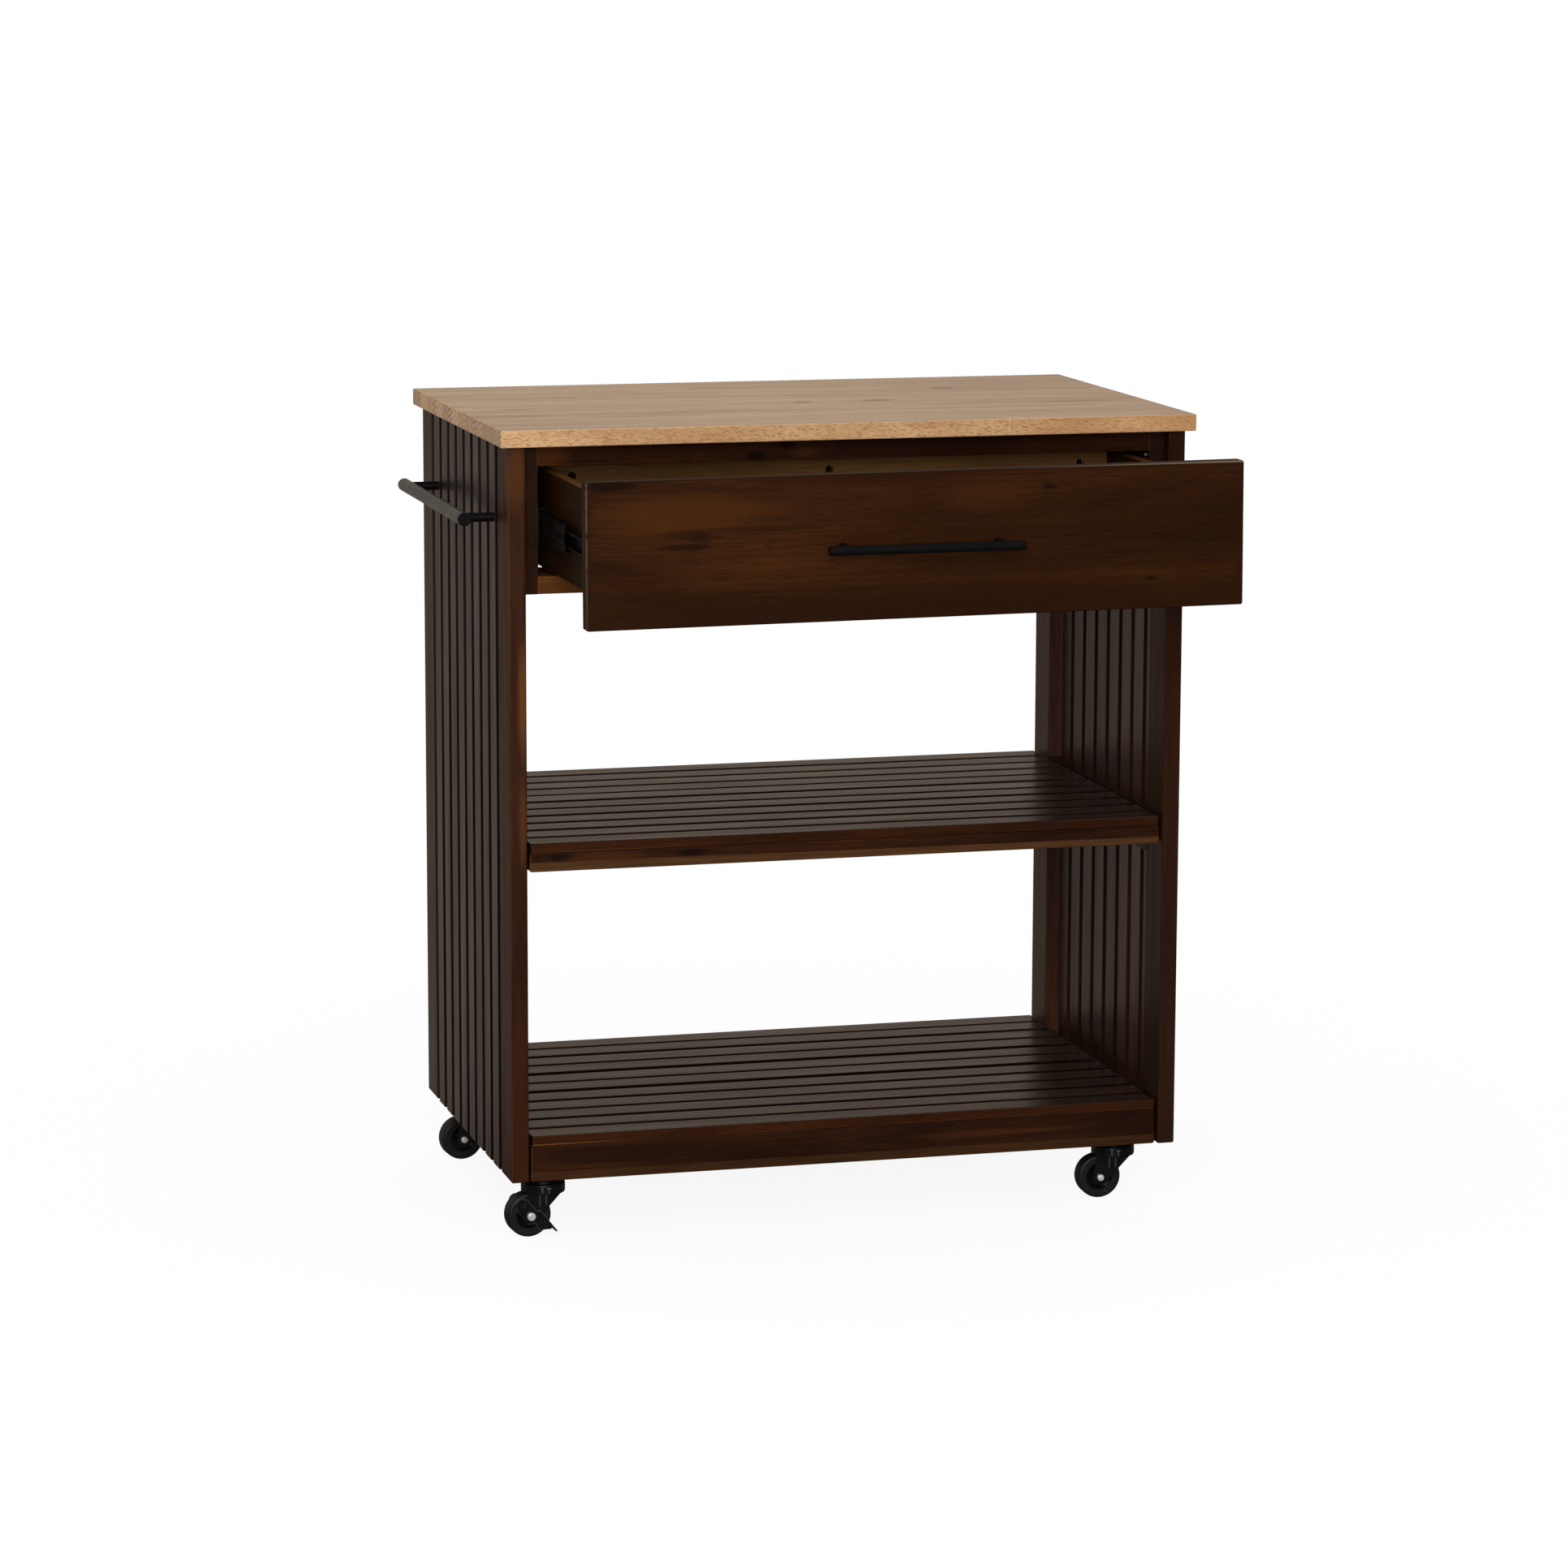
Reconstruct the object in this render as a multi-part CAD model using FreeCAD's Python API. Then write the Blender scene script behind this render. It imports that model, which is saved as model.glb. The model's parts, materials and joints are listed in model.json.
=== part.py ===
import FreeCAD, Part
import math
import os

from FreeCAD import Vector

# Kitchen cart with a slatted frame, one wide drawer, two slatted shelves, a towel bar and four casters.
# Lengths are in millimetres and angles in degrees. The floor is at zero height, the front faces minus Y,
# and the drawer stands open by the distance named below.

# Overall sizes
top_width = 800.0
top_depth = 500.0
top_thickness = 19.0
top_height = 917.0
top_edge_radius = 1.6
body_width = 781.0
body_depth = 480.0
caster_height = 72.5

# Side panels: two stiles, upright slats between them and bearers behind the slats
stile_thickness = 20.0
stile_depth = 56.0
stile_edge_radius = 2.0
side_slat_count = 8
side_slat_width = 32.0
side_slat_thickness = 7.0
side_slat_edge_radius = 1.0
mid_bearer_height = 50.5

# Carcass round the drawer
drawer_zone_height = 165.0
frame_recess = 17.5
rear_recess = 16.0
board_thickness = 17.0
top_stretcher_height = 24.0
bottom_stretcher_height = 20.0
stretcher_depth = 75.0
apron_thickness = 16.2

# Shelves
shelf_recess = 2.5
shelf_rear_recess = 8.5
shelf_slat_count = 11
shelf_slat_width = 34.5
shelf_slat_thickness = 11.0
shelf_edge_radius = 1.5
shelf_slat_end_gap = 4.5
rail_end_gap = 2.9
rail_thickness = 18.0
rail_corner_radius = 3.0
bottom_rail_height = 41.0
mid_rail_height = 21.0
mid_shelf_top = 456.7
cleat_thickness = 20.0
caster_block_length = 66.0
# How far each slat lies off its even place, front slat first, as shares of the gap between slats
mid_slat_shift_shares = (0.0, -0.05, 0.05, 0.15, 0.35, 0.25, 0.45, 0.2, 0.15, 0.05, 0.0)
bottom_slat_shift_shares = (0.0, -0.15, -0.1, -0.25, -0.25, 0.15, -0.05, 0.35, 0.2, 0.3, 0.0)

# Drawer
drawer_open = 260.0
front_thickness = 18.0
front_side_gap = 5.9
front_top_gap = 8.5
front_bottom_drop = 0.5
# The front is fitted slightly off square: its middle to the right, its left end lower
front_shift = 2.2
front_tilt = 0.44
front_edge_radius = 2.5
box_board_thickness = 12.0
box_top_clearance = 6.0
box_bottom_clearance = 5.6
box_rear_from_front = 348.0
box_edge_radius = 1.5
drawer_bottom_thickness = 5.0
drawer_bottom_lift = 7.4
groove_depth = 6.0
back_hole_radius = 5.0
back_hole_drop = 14.5
back_hole_inset = 31.5

# Telescopic slides: three nested members on each side
slide_width = 12.5
slide_length = 350.0
slide_drop = 88.5
slide_sheet = 1.2
slide_running_gap = 0.3
outer_member_height = 36.6
outer_member_depth = 10.0
middle_member_height = 29.4
inner_member_height = 17.7
lip_gap = 0.2
middle_end_radius = 6.0
slot_length = 14.0
slot_height = 5.0
slot_corner_radius = 2.4
slot_inset = 20.0
slot_pitch = 62.0

# Drawer pull
pull_radius = 5.2
pull_length = 216.6
pull_reach = 35.0
pull_drop = 105.0
pull_post_radius = 4.0
pull_post_spacing = 171.5
pull_post_shift = 1.9
pull_end_radius = 1.0

# Towel bar on the left side
towel_radius = 7.5
towel_length = 350.0
towel_reach = 35.0
towel_drop = 105.0
towel_cap_thickness = 3.0
towel_post_radius = 5.2
towel_post_spacing = 312.0

# Screws
screw_radius = 2.0
screw_head_radius = 4.0
screw_head_height = 2.4
screw_head_edge_radius = 0.8
screw_in_post = 15.0
screw_in_stile = 15.0
screw_in_bearer = 9.0
screw_in_front = 12.0
counterbore_clearance = 0.2
board_screw_inset = 12.0
board_screw_end_inset = 30.0
cleat_screw_spacing = 260.0
front_screw_inset = 60.0
front_screw_edge_inset = 22.0

# Casters
wheel_radius = 25.4
wheel_width = 20.0
tread_thickness = 9.5
tread_edge_radius = 3.5
wheel_web_width = 11.0
wheel_rim_width = 18.0
wheel_rim_thickness = 2.0
hub_radius = 7.5
hub_width = 22.0
trail = 18.5
caster_inset_side = 51.0
caster_inset_end = 54.0
# How far each caster lies off its even place, to the right and to the rear, as shares of the plate's length
front_left_shift_shares = (-0.088, -0.103)
front_right_shift_shares = (-0.079, 0.034)
rear_left_shift_shares = (-0.097, -0.078)
rear_right_shift_shares = (0.0, 0.0)
plate_length = 58.0
plate_thickness = 2.5
plate_corner_radius = 6.0
plate_screw_spacing = 44.0
plate_screw_length = 20.0
race_top_radius = 19.0
race_bottom_radius = 22.0
race_gap = 0.3
crown_radius = 25.0
crown_top = 62.5
crown_depth = 10.5
crown_edge_radius = 2.5
fork_sheet = 2.0
fork_side_clearance = 0.5
fork_boss_radius = 9.0
leg_rear_x = 19.0
horn_drop = 1.0
horn_x = 16.2
horn_z = 48.8
knee_x = 8.0
knee_z = 40.0
kingpin_radius = 4.0
kingpin_head_radius = 7.0
kingpin_head_height = 3.0
running_clearance = 0.05
axle_radius = 3.0
axle_head_radius = 4.75
plain_axle_head_radius = 3.9
axle_head_height = 4.0
axle_head_edge_radius = 1.6
nut_across_flats = 10.0
nut_height = 5.0
turn_front_left = 4.3
turn_front_right = -2.0
turn_rear_left = 6.0
turn_rear_right = 4.0

# Brake lever: places are measured from the axle, along the trail and upwards
cheek_thickness = 1.5
cheek_gap = 0.2
ear_radius = 8.0
ear_x = -9.5
ear_z = 12.5
ear_hole_radius = 2.0
heel_x = 9.1
heel_z = 5.3
wedge_tip_x = 23.5
wedge_tip_z = -16.5
wedge_foot_x = 9.6
wedge_foot_z = -16.9
pedal_slope = 51.4
pedal_width = 7.9
# How much of the pedal's slope the cheek's web backs
pedal_web_share = 0.78
pedal_thickness = 2.0
pedal_wheel_clearance = 3.0

# How far a cutting shape runs past the face it cuts
overrun = 2.0

# Planes worked out from the sizes above
half_top_width = top_width / 2
half_top_depth = top_depth / 2
half_body = body_width / 2
front_plane = -body_depth / 2
rear_plane = body_depth / 2
under_top = top_height - top_thickness
panel_bottom = caster_height
stile_inner = half_body - stile_thickness
slat_inner = half_body - side_slat_thickness
frame_front = front_plane + frame_recess
frame_rear = rear_plane - rear_recess
zone_bottom = under_top - drawer_zone_height
board_inner = stile_inner - board_thickness
box_half = board_inner - slide_width
shelf_front = front_plane + shelf_recess
shelf_rear = rear_plane - shelf_rear_recess
shelf_depth = shelf_rear - shelf_front
bottom_slat_bottom = panel_bottom + bottom_rail_height
drawer_face = front_plane - drawer_open
drawer_front_back = drawer_face + front_thickness
box_rear = drawer_front_back + box_rear_from_front
box_top = under_top - top_stretcher_height - box_top_clearance
box_bottom = zone_bottom + bottom_stretcher_height + box_bottom_clearance
slide_middle_z = under_top - slide_drop
pull_y = drawer_face - pull_reach
pull_z = top_height - pull_drop
towel_x = half_body + towel_reach
towel_z = top_height - towel_drop
caster_x = half_body - caster_inset_side
caster_y = body_depth / 2 - caster_inset_end
fork_leg_inner = hub_width / 2 + fork_side_clearance
fork_leg_outer = fork_leg_inner + fork_sheet
crown_bottom = crown_top - crown_depth

along_x = Vector(1, 0, 0)
along_y = Vector(0, 1, 0)
along_z = Vector(0, 0, 1)
origin = Vector(0, 0, 0)


def block(x_low, x_high, y_low, y_high, z_low, z_high):
    """A box between two corners."""
    corner = Vector(x_low, y_low, z_low)
    return Part.makeBox(x_high - x_low, y_high - y_low, z_high - z_low, corner)


def rod(start, direction, length, radius):
    """A round bar from a start point along a direction."""
    return Part.makeCylinder(radius, length, start, direction)


def ease(shape, radius, keep):
    """Round those edges whose bounding box the keep function accepts."""
    edges = [edge for edge in shape.Edges if keep(edge.BoundBox)]
    return shape.makeFillet(radius, edges)


def left_of(shape):
    """The mirror image of a right-hand piece."""
    return shape.mirror(origin, along_x)


def group(solids):
    """Separate solids of one kind, kept apart in one piece list."""
    return Part.makeCompound(solids)


def plate_xz(points, y_low, thickness):
    """A flat plate whose outline lies in an XZ plane, thickened along Y."""
    corners = [Vector(x, y_low, z) for x, z in points]
    outline = Part.makePolygon(corners + corners[:1])
    return Part.Face(outline).extrude(along_y * thickness)


def disc_xz(centre_x, centre_z, radius, y_low, thickness):
    """A round plate in an XZ plane."""
    return rod(Vector(centre_x, y_low, centre_z), along_y, thickness, radius)


def turned(points, centre_x, centre_z):
    """A solid of revolution about an axle along Y, from radius and Y pairs."""
    corners = [Vector(centre_x, y, centre_z + radius) for radius, y in points]
    outline = Part.makePolygon(corners + corners[:1])
    return Part.Face(outline).revolve(Vector(centre_x, 0, centre_z), along_y, 360)


def tangent_point(point, centre, radius, side):
    """Where a line from a point touches a circle; side is 1 or -1."""
    dx = point[0] - centre[0]
    dz = point[1] - centre[1]
    distance = math.hypot(dx, dz)
    angle = math.atan2(dz, dx) + side * math.acos(radius / distance)
    return centre[0] + radius * math.cos(angle), centre[1] + radius * math.sin(angle)


def pan_screw(seat, direction, length):
    """A pan-head screw: its head stands on the seat and its shank runs along the direction."""
    head = rod(seat - direction * screw_head_height, direction, screw_head_height, screw_head_radius)
    back = seat - direction * screw_head_height
    rim = [edge for edge in head.Edges if edge.CenterOfMass.distanceToPoint(back) < screw_head_edge_radius]
    head = head.makeFillet(screw_head_edge_radius, rim)
    return head.fuse(rod(seat, direction, length, screw_radius))


def screw_hole(seat, direction, length):
    """The hole that a screw's shank fills."""
    return rod(seat, direction, length, screw_radius)


# Worktop

def make_worktop():
    """The solid wood top, with its edges eased."""
    slab = block(-half_top_width, half_top_width, -half_top_depth, half_top_depth, under_top, top_height)
    return slab.makeFillet(top_edge_radius, slab.Edges)


# Side panels

def make_stile(y_low):
    """A right-hand corner upright with all its edges rounded."""
    stile = block(stile_inner, half_body, y_low, y_low + stile_depth, panel_bottom, under_top)
    return stile.makeFillet(stile_edge_radius, stile.Edges)


def make_side_slats():
    """The upright slats between the right-hand stiles, flush with their outer face."""
    first = front_plane + stile_depth
    span = body_depth - stile_depth * 2
    gap = (span - side_slat_count * side_slat_width) / (side_slat_count + 1)
    slats = []
    for index in range(side_slat_count):
        y_low = first + gap + index * (side_slat_width + gap)
        slat = block(slat_inner, half_body, y_low, y_low + side_slat_width, panel_bottom, under_top)
        outer = half_body - side_slat_edge_radius
        slat = ease(slat, side_slat_edge_radius,
                    lambda box: box.XMin > outer and box.ZMin < under_top - side_slat_width)
        slats.append(slat)
    return group(slats)


def make_bearers(towel_bar):
    """The cross pieces behind the slats, with screw holes at the towel bar on the left."""
    y_low = front_plane + stile_depth
    y_high = rear_plane - stile_depth
    bottom = block(stile_inner, slat_inner, y_low, y_high, panel_bottom, panel_bottom + bottom_rail_height)
    middle = block(stile_inner, slat_inner, y_low, y_high, mid_shelf_top - mid_bearer_height, mid_shelf_top)
    top = block(stile_inner, slat_inner, y_low, y_high, zone_bottom, under_top)
    if towel_bar:
        for side in (-1, 1):
            seat = Vector(stile_inner, side * towel_post_spacing / 2, towel_z)
            top = top.cut(rod(seat, along_x, screw_head_height, screw_head_radius + counterbore_clearance))
            top = top.cut(screw_hole(seat, along_x, slat_inner - stile_inner))
    for seat in cleat_screw_seats():
        hole = screw_hole(seat, along_x, cleat_thickness + screw_in_bearer)
        bottom = bottom.cut(hole)
        middle = middle.cut(hole)
    return group([bottom, middle, top])


# Carcass round the drawer

def board_screw_seats():
    """Where the right-hand runner board is screwed to the stiles."""
    front = frame_front + board_screw_inset
    rear = frame_rear - apron_thickness - board_screw_inset
    low = zone_bottom + board_screw_end_inset
    high = under_top - board_screw_end_inset
    return [Vector(board_inner, y, z) for y in (front, rear) for z in (low, high)]


def make_runner_board():
    """The right-hand board that carries the slide."""
    board = block(board_inner, stile_inner, frame_front, frame_rear, zone_bottom, under_top)
    for seat in board_screw_seats():
        board = board.cut(screw_hole(seat, along_x, board_thickness))
    return board


def make_front_stretcher(z_low, z_high):
    """A flat board between the runner boards at the drawer's mouth."""
    board = block(-board_inner, board_inner, frame_front, frame_front + stretcher_depth, z_low, z_high)
    return ease(board, shelf_edge_radius, lambda box: box.YMax < frame_front + shelf_edge_radius
                and box.XMax - box.XMin > board_inner)


def make_rear_apron():
    """The board that closes the drawer zone at the rear."""
    return block(-board_inner, board_inner, frame_rear - apron_thickness, frame_rear, zone_bottom, under_top)


# Shelves

def cleat_screw_seats():
    """Where the right-hand cleats of both shelves are screwed to the bearers."""
    x = stile_inner - cleat_thickness
    mid_z = mid_shelf_top - shelf_slat_thickness - mid_rail_height / 2
    bottom_z = panel_bottom + bottom_rail_height / 2
    half = cleat_screw_spacing / 2
    return [Vector(x, side * half, z) for side in (-1, 1) for z in (mid_z, bottom_z)]


def make_rail(y_low, z_low, z_high):
    """A shelf rail from side to side, with rounded corners and eased edges."""
    half = stile_inner - rail_end_gap
    rail = block(-half, half, y_low, y_low + rail_thickness, z_low, z_high)
    rail = ease(rail, rail_corner_radius, lambda box: box.YMax - box.YMin > rail_thickness / 2)
    return ease(rail, shelf_edge_radius, lambda box: box.YMax - box.YMin < rail_thickness / 2)


def make_shelf_slats(z_low, shift_shares):
    """The slats of a shelf, laid from side to side with slightly uneven gaps."""
    half = stile_inner - shelf_slat_end_gap
    gap = (shelf_depth - shelf_slat_count * shelf_slat_width) / (shelf_slat_count - 1)
    slats = []
    for index in range(shelf_slat_count):
        shift = shift_shares[index % len(shift_shares)] * gap
        y_low = shelf_front + index * (shelf_slat_width + gap) + shift
        slat = block(-half, half, y_low, y_low + shelf_slat_width, z_low, z_low + shelf_slat_thickness)
        slats.append(ease(slat, shelf_edge_radius, lambda box: box.XMax - box.XMin > half))
    return group(slats)


def make_cleats(z_low, z_high):
    """The two end cleats under a shelf, screwed to the bearers."""
    y_low = shelf_front + rail_thickness
    y_high = shelf_rear - rail_thickness
    cleat = block(stile_inner - cleat_thickness, stile_inner, y_low, y_high, z_low, z_high)
    for seat in cleat_screw_seats():
        cleat = cleat.cut(screw_hole(seat, along_x, cleat_thickness))
    return cleat


def caster_place(side, end, shift_shares):
    """The swivel axis of one caster; side is 1 on the right, end is 1 at the rear."""
    return side * caster_x + shift_shares[0] * plate_length, end * caster_y + shift_shares[1] * plate_length


def caster_screw_holes():
    """The holes above every caster plate."""
    half = plate_screw_spacing / 2
    holes = []
    for x, y, turn, braked in corners.values():
        for dx in (-half, half):
            for dy in (-half, half):
                seat = Vector(x + dx, y + dy, panel_bottom)
                holes.append(screw_hole(seat, along_z, plate_screw_length))
    return group(holes)


def make_bottom_cleats():
    """The bottom shelf's two cleats, with the holes of the casters' screws."""
    right = make_cleats(panel_bottom, bottom_slat_bottom)
    return group([right, left_of(right)]).cut(caster_screw_holes())


def make_caster_blocks():
    """The four blocks in the corners of the bottom frame."""
    x_high = stile_inner - cleat_thickness
    x_low = x_high - caster_block_length
    z_high = panel_bottom + bottom_rail_height
    front = shelf_front + rail_thickness
    rear = shelf_rear - rail_thickness - caster_block_length
    blocks = []
    for y_low in (front, rear):
        piece = block(x_low, x_high, y_low, y_low + caster_block_length, panel_bottom, z_high)
        blocks += [piece, left_of(piece)]
    return group(blocks).cut(caster_screw_holes())


# Drawer

def front_screw_seats():
    """Where the drawer front is screwed on from inside the box."""
    y = drawer_front_back + box_board_thickness
    x = box_half - front_screw_inset
    low = box_bottom + front_screw_edge_inset
    high = box_top - front_screw_edge_inset
    return [Vector(side * x, y, z) for side in (-1, 1) for z in (low, high)]


def pull_post_places():
    """How far right of the middle the pull's two posts stand."""
    return [pull_post_shift + side * pull_post_spacing / 2 for side in (-1, 1)]


def pull_screw_seats():
    """Where the pull is screwed on from inside the box."""
    y = drawer_front_back + box_board_thickness
    return [Vector(x, y, pull_z) for x in pull_post_places()]


def cut_drawer_screw_holes(shape):
    """Take every drawer screw's shank out of a board or post."""
    short = box_board_thickness + screw_in_front
    long = box_board_thickness + front_thickness + screw_in_post
    for seat in front_screw_seats():
        shape = shape.cut(screw_hole(seat, -along_y, short))
    for seat in pull_screw_seats():
        shape = shape.cut(screw_hole(seat, -along_y, long))
    return shape


def drawer_bottom_block():
    """The thin bottom, reaching into its grooves on all four sides."""
    half = box_half - box_board_thickness + groove_depth
    y_low = drawer_front_back + box_board_thickness - groove_depth
    y_high = box_rear - box_board_thickness + groove_depth
    z_low = box_bottom + drawer_bottom_lift
    return block(-half, half, y_low, y_high, z_low, z_low + drawer_bottom_thickness)


def make_drawer_front():
    """The wide front panel, square at the back, rounded in front and fitted slightly off square."""
    half = stile_inner - front_side_gap
    z_low = zone_bottom - front_bottom_drop
    z_high = under_top - front_top_gap
    panel = block(-half, half, drawer_face, drawer_front_back, z_low, z_high)
    panel = ease(panel, front_edge_radius, lambda box: box.YMin < drawer_face + front_edge_radius)
    panel.rotate(Vector(0, drawer_face, (z_low + z_high) / 2), along_y, -front_tilt)
    panel.translate(along_x * front_shift)
    return cut_drawer_screw_holes(panel)


def make_drawer_side():
    """The right-hand side of the box, with its top edges eased."""
    side = block(box_half - box_board_thickness, box_half, drawer_front_back, box_rear, box_bottom, box_top)
    side = ease(side, box_edge_radius, lambda box: box.ZMin > box_top - box_edge_radius
                and box.YMax - box.YMin > box_board_thickness)
    return side.cut(drawer_bottom_block())


def make_inner_front():
    """The box's own front board, between its sides."""
    half = box_half - box_board_thickness
    y_high = drawer_front_back + box_board_thickness
    board = block(-half, half, drawer_front_back, y_high, box_bottom, box_top)
    return cut_drawer_screw_holes(board.cut(drawer_bottom_block()))


def make_drawer_back():
    """The back board, with three round holes near its top edge."""
    half = box_half - box_board_thickness
    y_low = box_rear - box_board_thickness
    board = block(-half, half, y_low, box_rear, box_bottom, box_top)
    for x in (-half + back_hole_inset, 0, half - back_hole_inset):
        start = Vector(x, y_low - overrun, box_top - back_hole_drop)
        board = board.cut(rod(start, along_y, box_board_thickness + overrun * 2, back_hole_radius))
    return board.cut(drawer_bottom_block())


# Drawer slides

def channel(web_x, towards, depth, y_low, height):
    """A channel with its web at web_x and its flanges running inwards or outwards."""
    z_low = slide_middle_z - height / 2
    z_high = slide_middle_z + height / 2
    y_high = y_low + slide_length
    tip = web_x + towards * depth
    web_back = web_x + towards * slide_sheet
    solid = block(min(web_x, tip), max(web_x, tip), y_low, y_high, z_low, z_high)
    hollow_tip = tip + towards * overrun
    hollow = block(min(web_back, hollow_tip), max(web_back, hollow_tip), y_low - overrun, y_high + overrun,
                   z_low + slide_sheet, z_high - slide_sheet)
    return solid.cut(hollow)


def lips(x_low, y_low, z_outside, z_inside):
    """The two inturned edges that hold the next member, above and below."""
    y_high = y_low + slide_length
    upper = block(x_low, x_low + slide_sheet, y_low, y_high, slide_middle_z + z_inside, slide_middle_z + z_outside)
    lower = block(x_low, x_low + slide_sheet, y_low, y_high, slide_middle_z - z_outside, slide_middle_z - z_inside)
    return upper, lower


def slide_slots(x_low, x_high, y_low):
    """Round-ended slots along a member's web."""
    count = int((slide_length - slot_inset * 2) / slot_pitch) + 1
    cuts = []
    for index in range(count):
        y = y_low + slot_inset + index * slot_pitch
        slot = block(x_low, x_high, y, y + slot_length, slide_middle_z - slot_height / 2,
                     slide_middle_z + slot_height / 2)
        slot = ease(slot, slot_corner_radius, lambda box: box.XMax - box.XMin > slide_sheet)
        cuts.append(slot)
    return group(cuts)


def make_outer_member():
    """The fixed member, on the runner board."""
    y_low = frame_front
    depth = outer_member_depth
    member = channel(board_inner, -1, depth, y_low, outer_member_height)
    upper, lower = lips(board_inner - depth, y_low, outer_member_height / 2,
                        middle_member_height / 2 + slide_running_gap)
    member = member.fuse([upper, lower]).removeSplitter()
    return member.cut(slide_slots(board_inner - slide_sheet - overrun, board_inner + overrun, y_low))


def make_middle_member():
    """The middle member, half way out, with rounded front corners on its web."""
    web_x = board_inner - slide_sheet - slide_running_gap
    y_low = frame_front - (drawer_open - slide_running_gap) / 2
    tip = board_inner - outer_member_depth + slide_sheet + lip_gap
    member = channel(web_x, -1, web_x - tip, y_low, middle_member_height)
    upper, lower = lips(tip, y_low, middle_member_height / 2, inner_member_height / 2 + slide_running_gap)
    member = member.fuse([upper, lower]).removeSplitter()
    notch = rod(Vector(tip - overrun, y_low, slide_middle_z), along_x, web_x - tip + overrun * 2,
                middle_end_radius)
    member = member.cut(notch)
    return member.cut(slide_slots(tip - overrun, web_x + overrun, y_low))


def make_inner_member():
    """The inner member, on the drawer side."""
    web_x = box_half
    middle_web_face = board_inner - (slide_sheet + slide_running_gap) - slide_sheet
    depth = middle_web_face - slide_running_gap - web_x
    return channel(web_x, 1, depth, drawer_front_back, inner_member_height)


# Drawer pull and towel bar

def make_pull_bar():
    """The round bar across the drawer front."""
    bar = rod(Vector(-pull_length / 2, pull_y, pull_z), along_x, pull_length, pull_radius)
    return bar.makeFillet(pull_end_radius, [edge for edge in bar.Edges if edge.BoundBox.XMax - edge.BoundBox.XMin
                                            < pull_radius])


def make_pull_posts():
    """The two posts between the drawer front and the bar."""
    bar = rod(Vector(-pull_length, pull_y, pull_z), along_x, pull_length * 2, pull_radius)
    posts = []
    for x in pull_post_places():
        start = Vector(x, drawer_face, pull_z)
        post = rod(start, -along_y, pull_reach, pull_post_radius).cut(bar)
        posts.append(cut_drawer_screw_holes(post))
    return group(posts)


def towel_rod(length, radius):
    """A round bar on the towel bar's centre line, middle at the middle of the side."""
    return rod(Vector(-towel_x, -length / 2, towel_z), along_y, length, radius)


def make_towel_caps():
    """The flat discs that close the towel bar's ends."""
    inner = towel_length / 2 - towel_cap_thickness
    front = rod(Vector(-towel_x, -towel_length / 2, towel_z), along_y, towel_cap_thickness, towel_radius)
    rear = rod(Vector(-towel_x, inner, towel_z), along_y, towel_cap_thickness, towel_radius)
    return group([front, rear])


def make_towel_posts():
    """The two posts between the left side's slats and the towel bar."""
    bar = towel_rod(towel_length, towel_radius)
    posts = []
    for side in (-1, 1):
        start = Vector(-half_body, side * towel_post_spacing / 2, towel_z)
        post = rod(start, -along_x, towel_reach, towel_post_radius).cut(bar)
        posts.append(post.cut(screw_hole(start, -along_x, screw_in_post)))
    return group(posts)


def towel_screw_seats():
    """The counterbored seats of the towel bar's screws in the top bearer."""
    x = -(stile_inner + screw_head_height)
    return [Vector(x, side * towel_post_spacing / 2, towel_z) for side in (-1, 1)]


def make_towel_screws():
    """The screws that hold the towel bar's posts from inside the side panel."""
    length = half_body - stile_inner - screw_head_height + screw_in_post
    return group([pan_screw(seat, -along_x, length) for seat in towel_screw_seats()])


def drill_towel_holes(slats):
    """The holes through the left side's slats behind the towel bar's posts."""
    for seat in towel_screw_seats():
        slats = slats.cut(screw_hole(seat, -along_x, half_body + seat.x))
    return slats


# Screws

def make_frame_screws():
    """The screws of the runner boards and of the shelf cleats, both sides."""
    screws = []
    for seat in board_screw_seats():
        screws.append(pan_screw(seat, along_x, board_thickness + screw_in_stile))
    for seat in cleat_screw_seats():
        screws.append(pan_screw(seat, along_x, cleat_thickness + screw_in_bearer))
    return group(screws + [left_of(screw) for screw in screws])


def make_drawer_screws():
    """The screws of the drawer front and of its pull."""
    short = box_board_thickness + screw_in_front
    long = box_board_thickness + front_thickness + screw_in_post
    screws = [pan_screw(seat, -along_y, short) for seat in front_screw_seats()]
    screws += [pan_screw(seat, -along_y, long) for seat in pull_screw_seats()]
    return group(screws)


def drill_stile(stile):
    """The holes of the runner board's screws in a right-hand stile."""
    for seat in board_screw_seats():
        stile = stile.cut(screw_hole(seat, along_x, board_thickness + screw_in_stile))
    return stile


# Casters. Each is built about its own swivel axis, with the wheel trailing towards minus X.

def make_caster_plate():
    """The mounting plate with its pressed race, fixed under the body."""
    half = plate_length / 2
    plate = block(-half, half, -half, half, caster_height - plate_thickness, caster_height)
    plate = ease(plate, plate_corner_radius, lambda box: box.ZMax - box.ZMin > plate_thickness / 2)
    race_bottom = crown_top + race_gap
    race = Part.makeCone(race_bottom_radius, race_top_radius, caster_height - plate_thickness - race_bottom,
                         Vector(0, 0, race_bottom), along_z)
    plate = plate.fuse(race).removeSplitter()
    plate = plate.cut(rod(Vector(0, 0, race_bottom - overrun), along_z, caster_height, kingpin_radius))
    for dx in (-plate_screw_spacing / 2, plate_screw_spacing / 2):
        for dy in (-plate_screw_spacing / 2, plate_screw_spacing / 2):
            hole = screw_hole(Vector(dx, dy, caster_height - plate_thickness), along_z, plate_thickness)
            plate = plate.cut(hole)
    return plate


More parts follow.
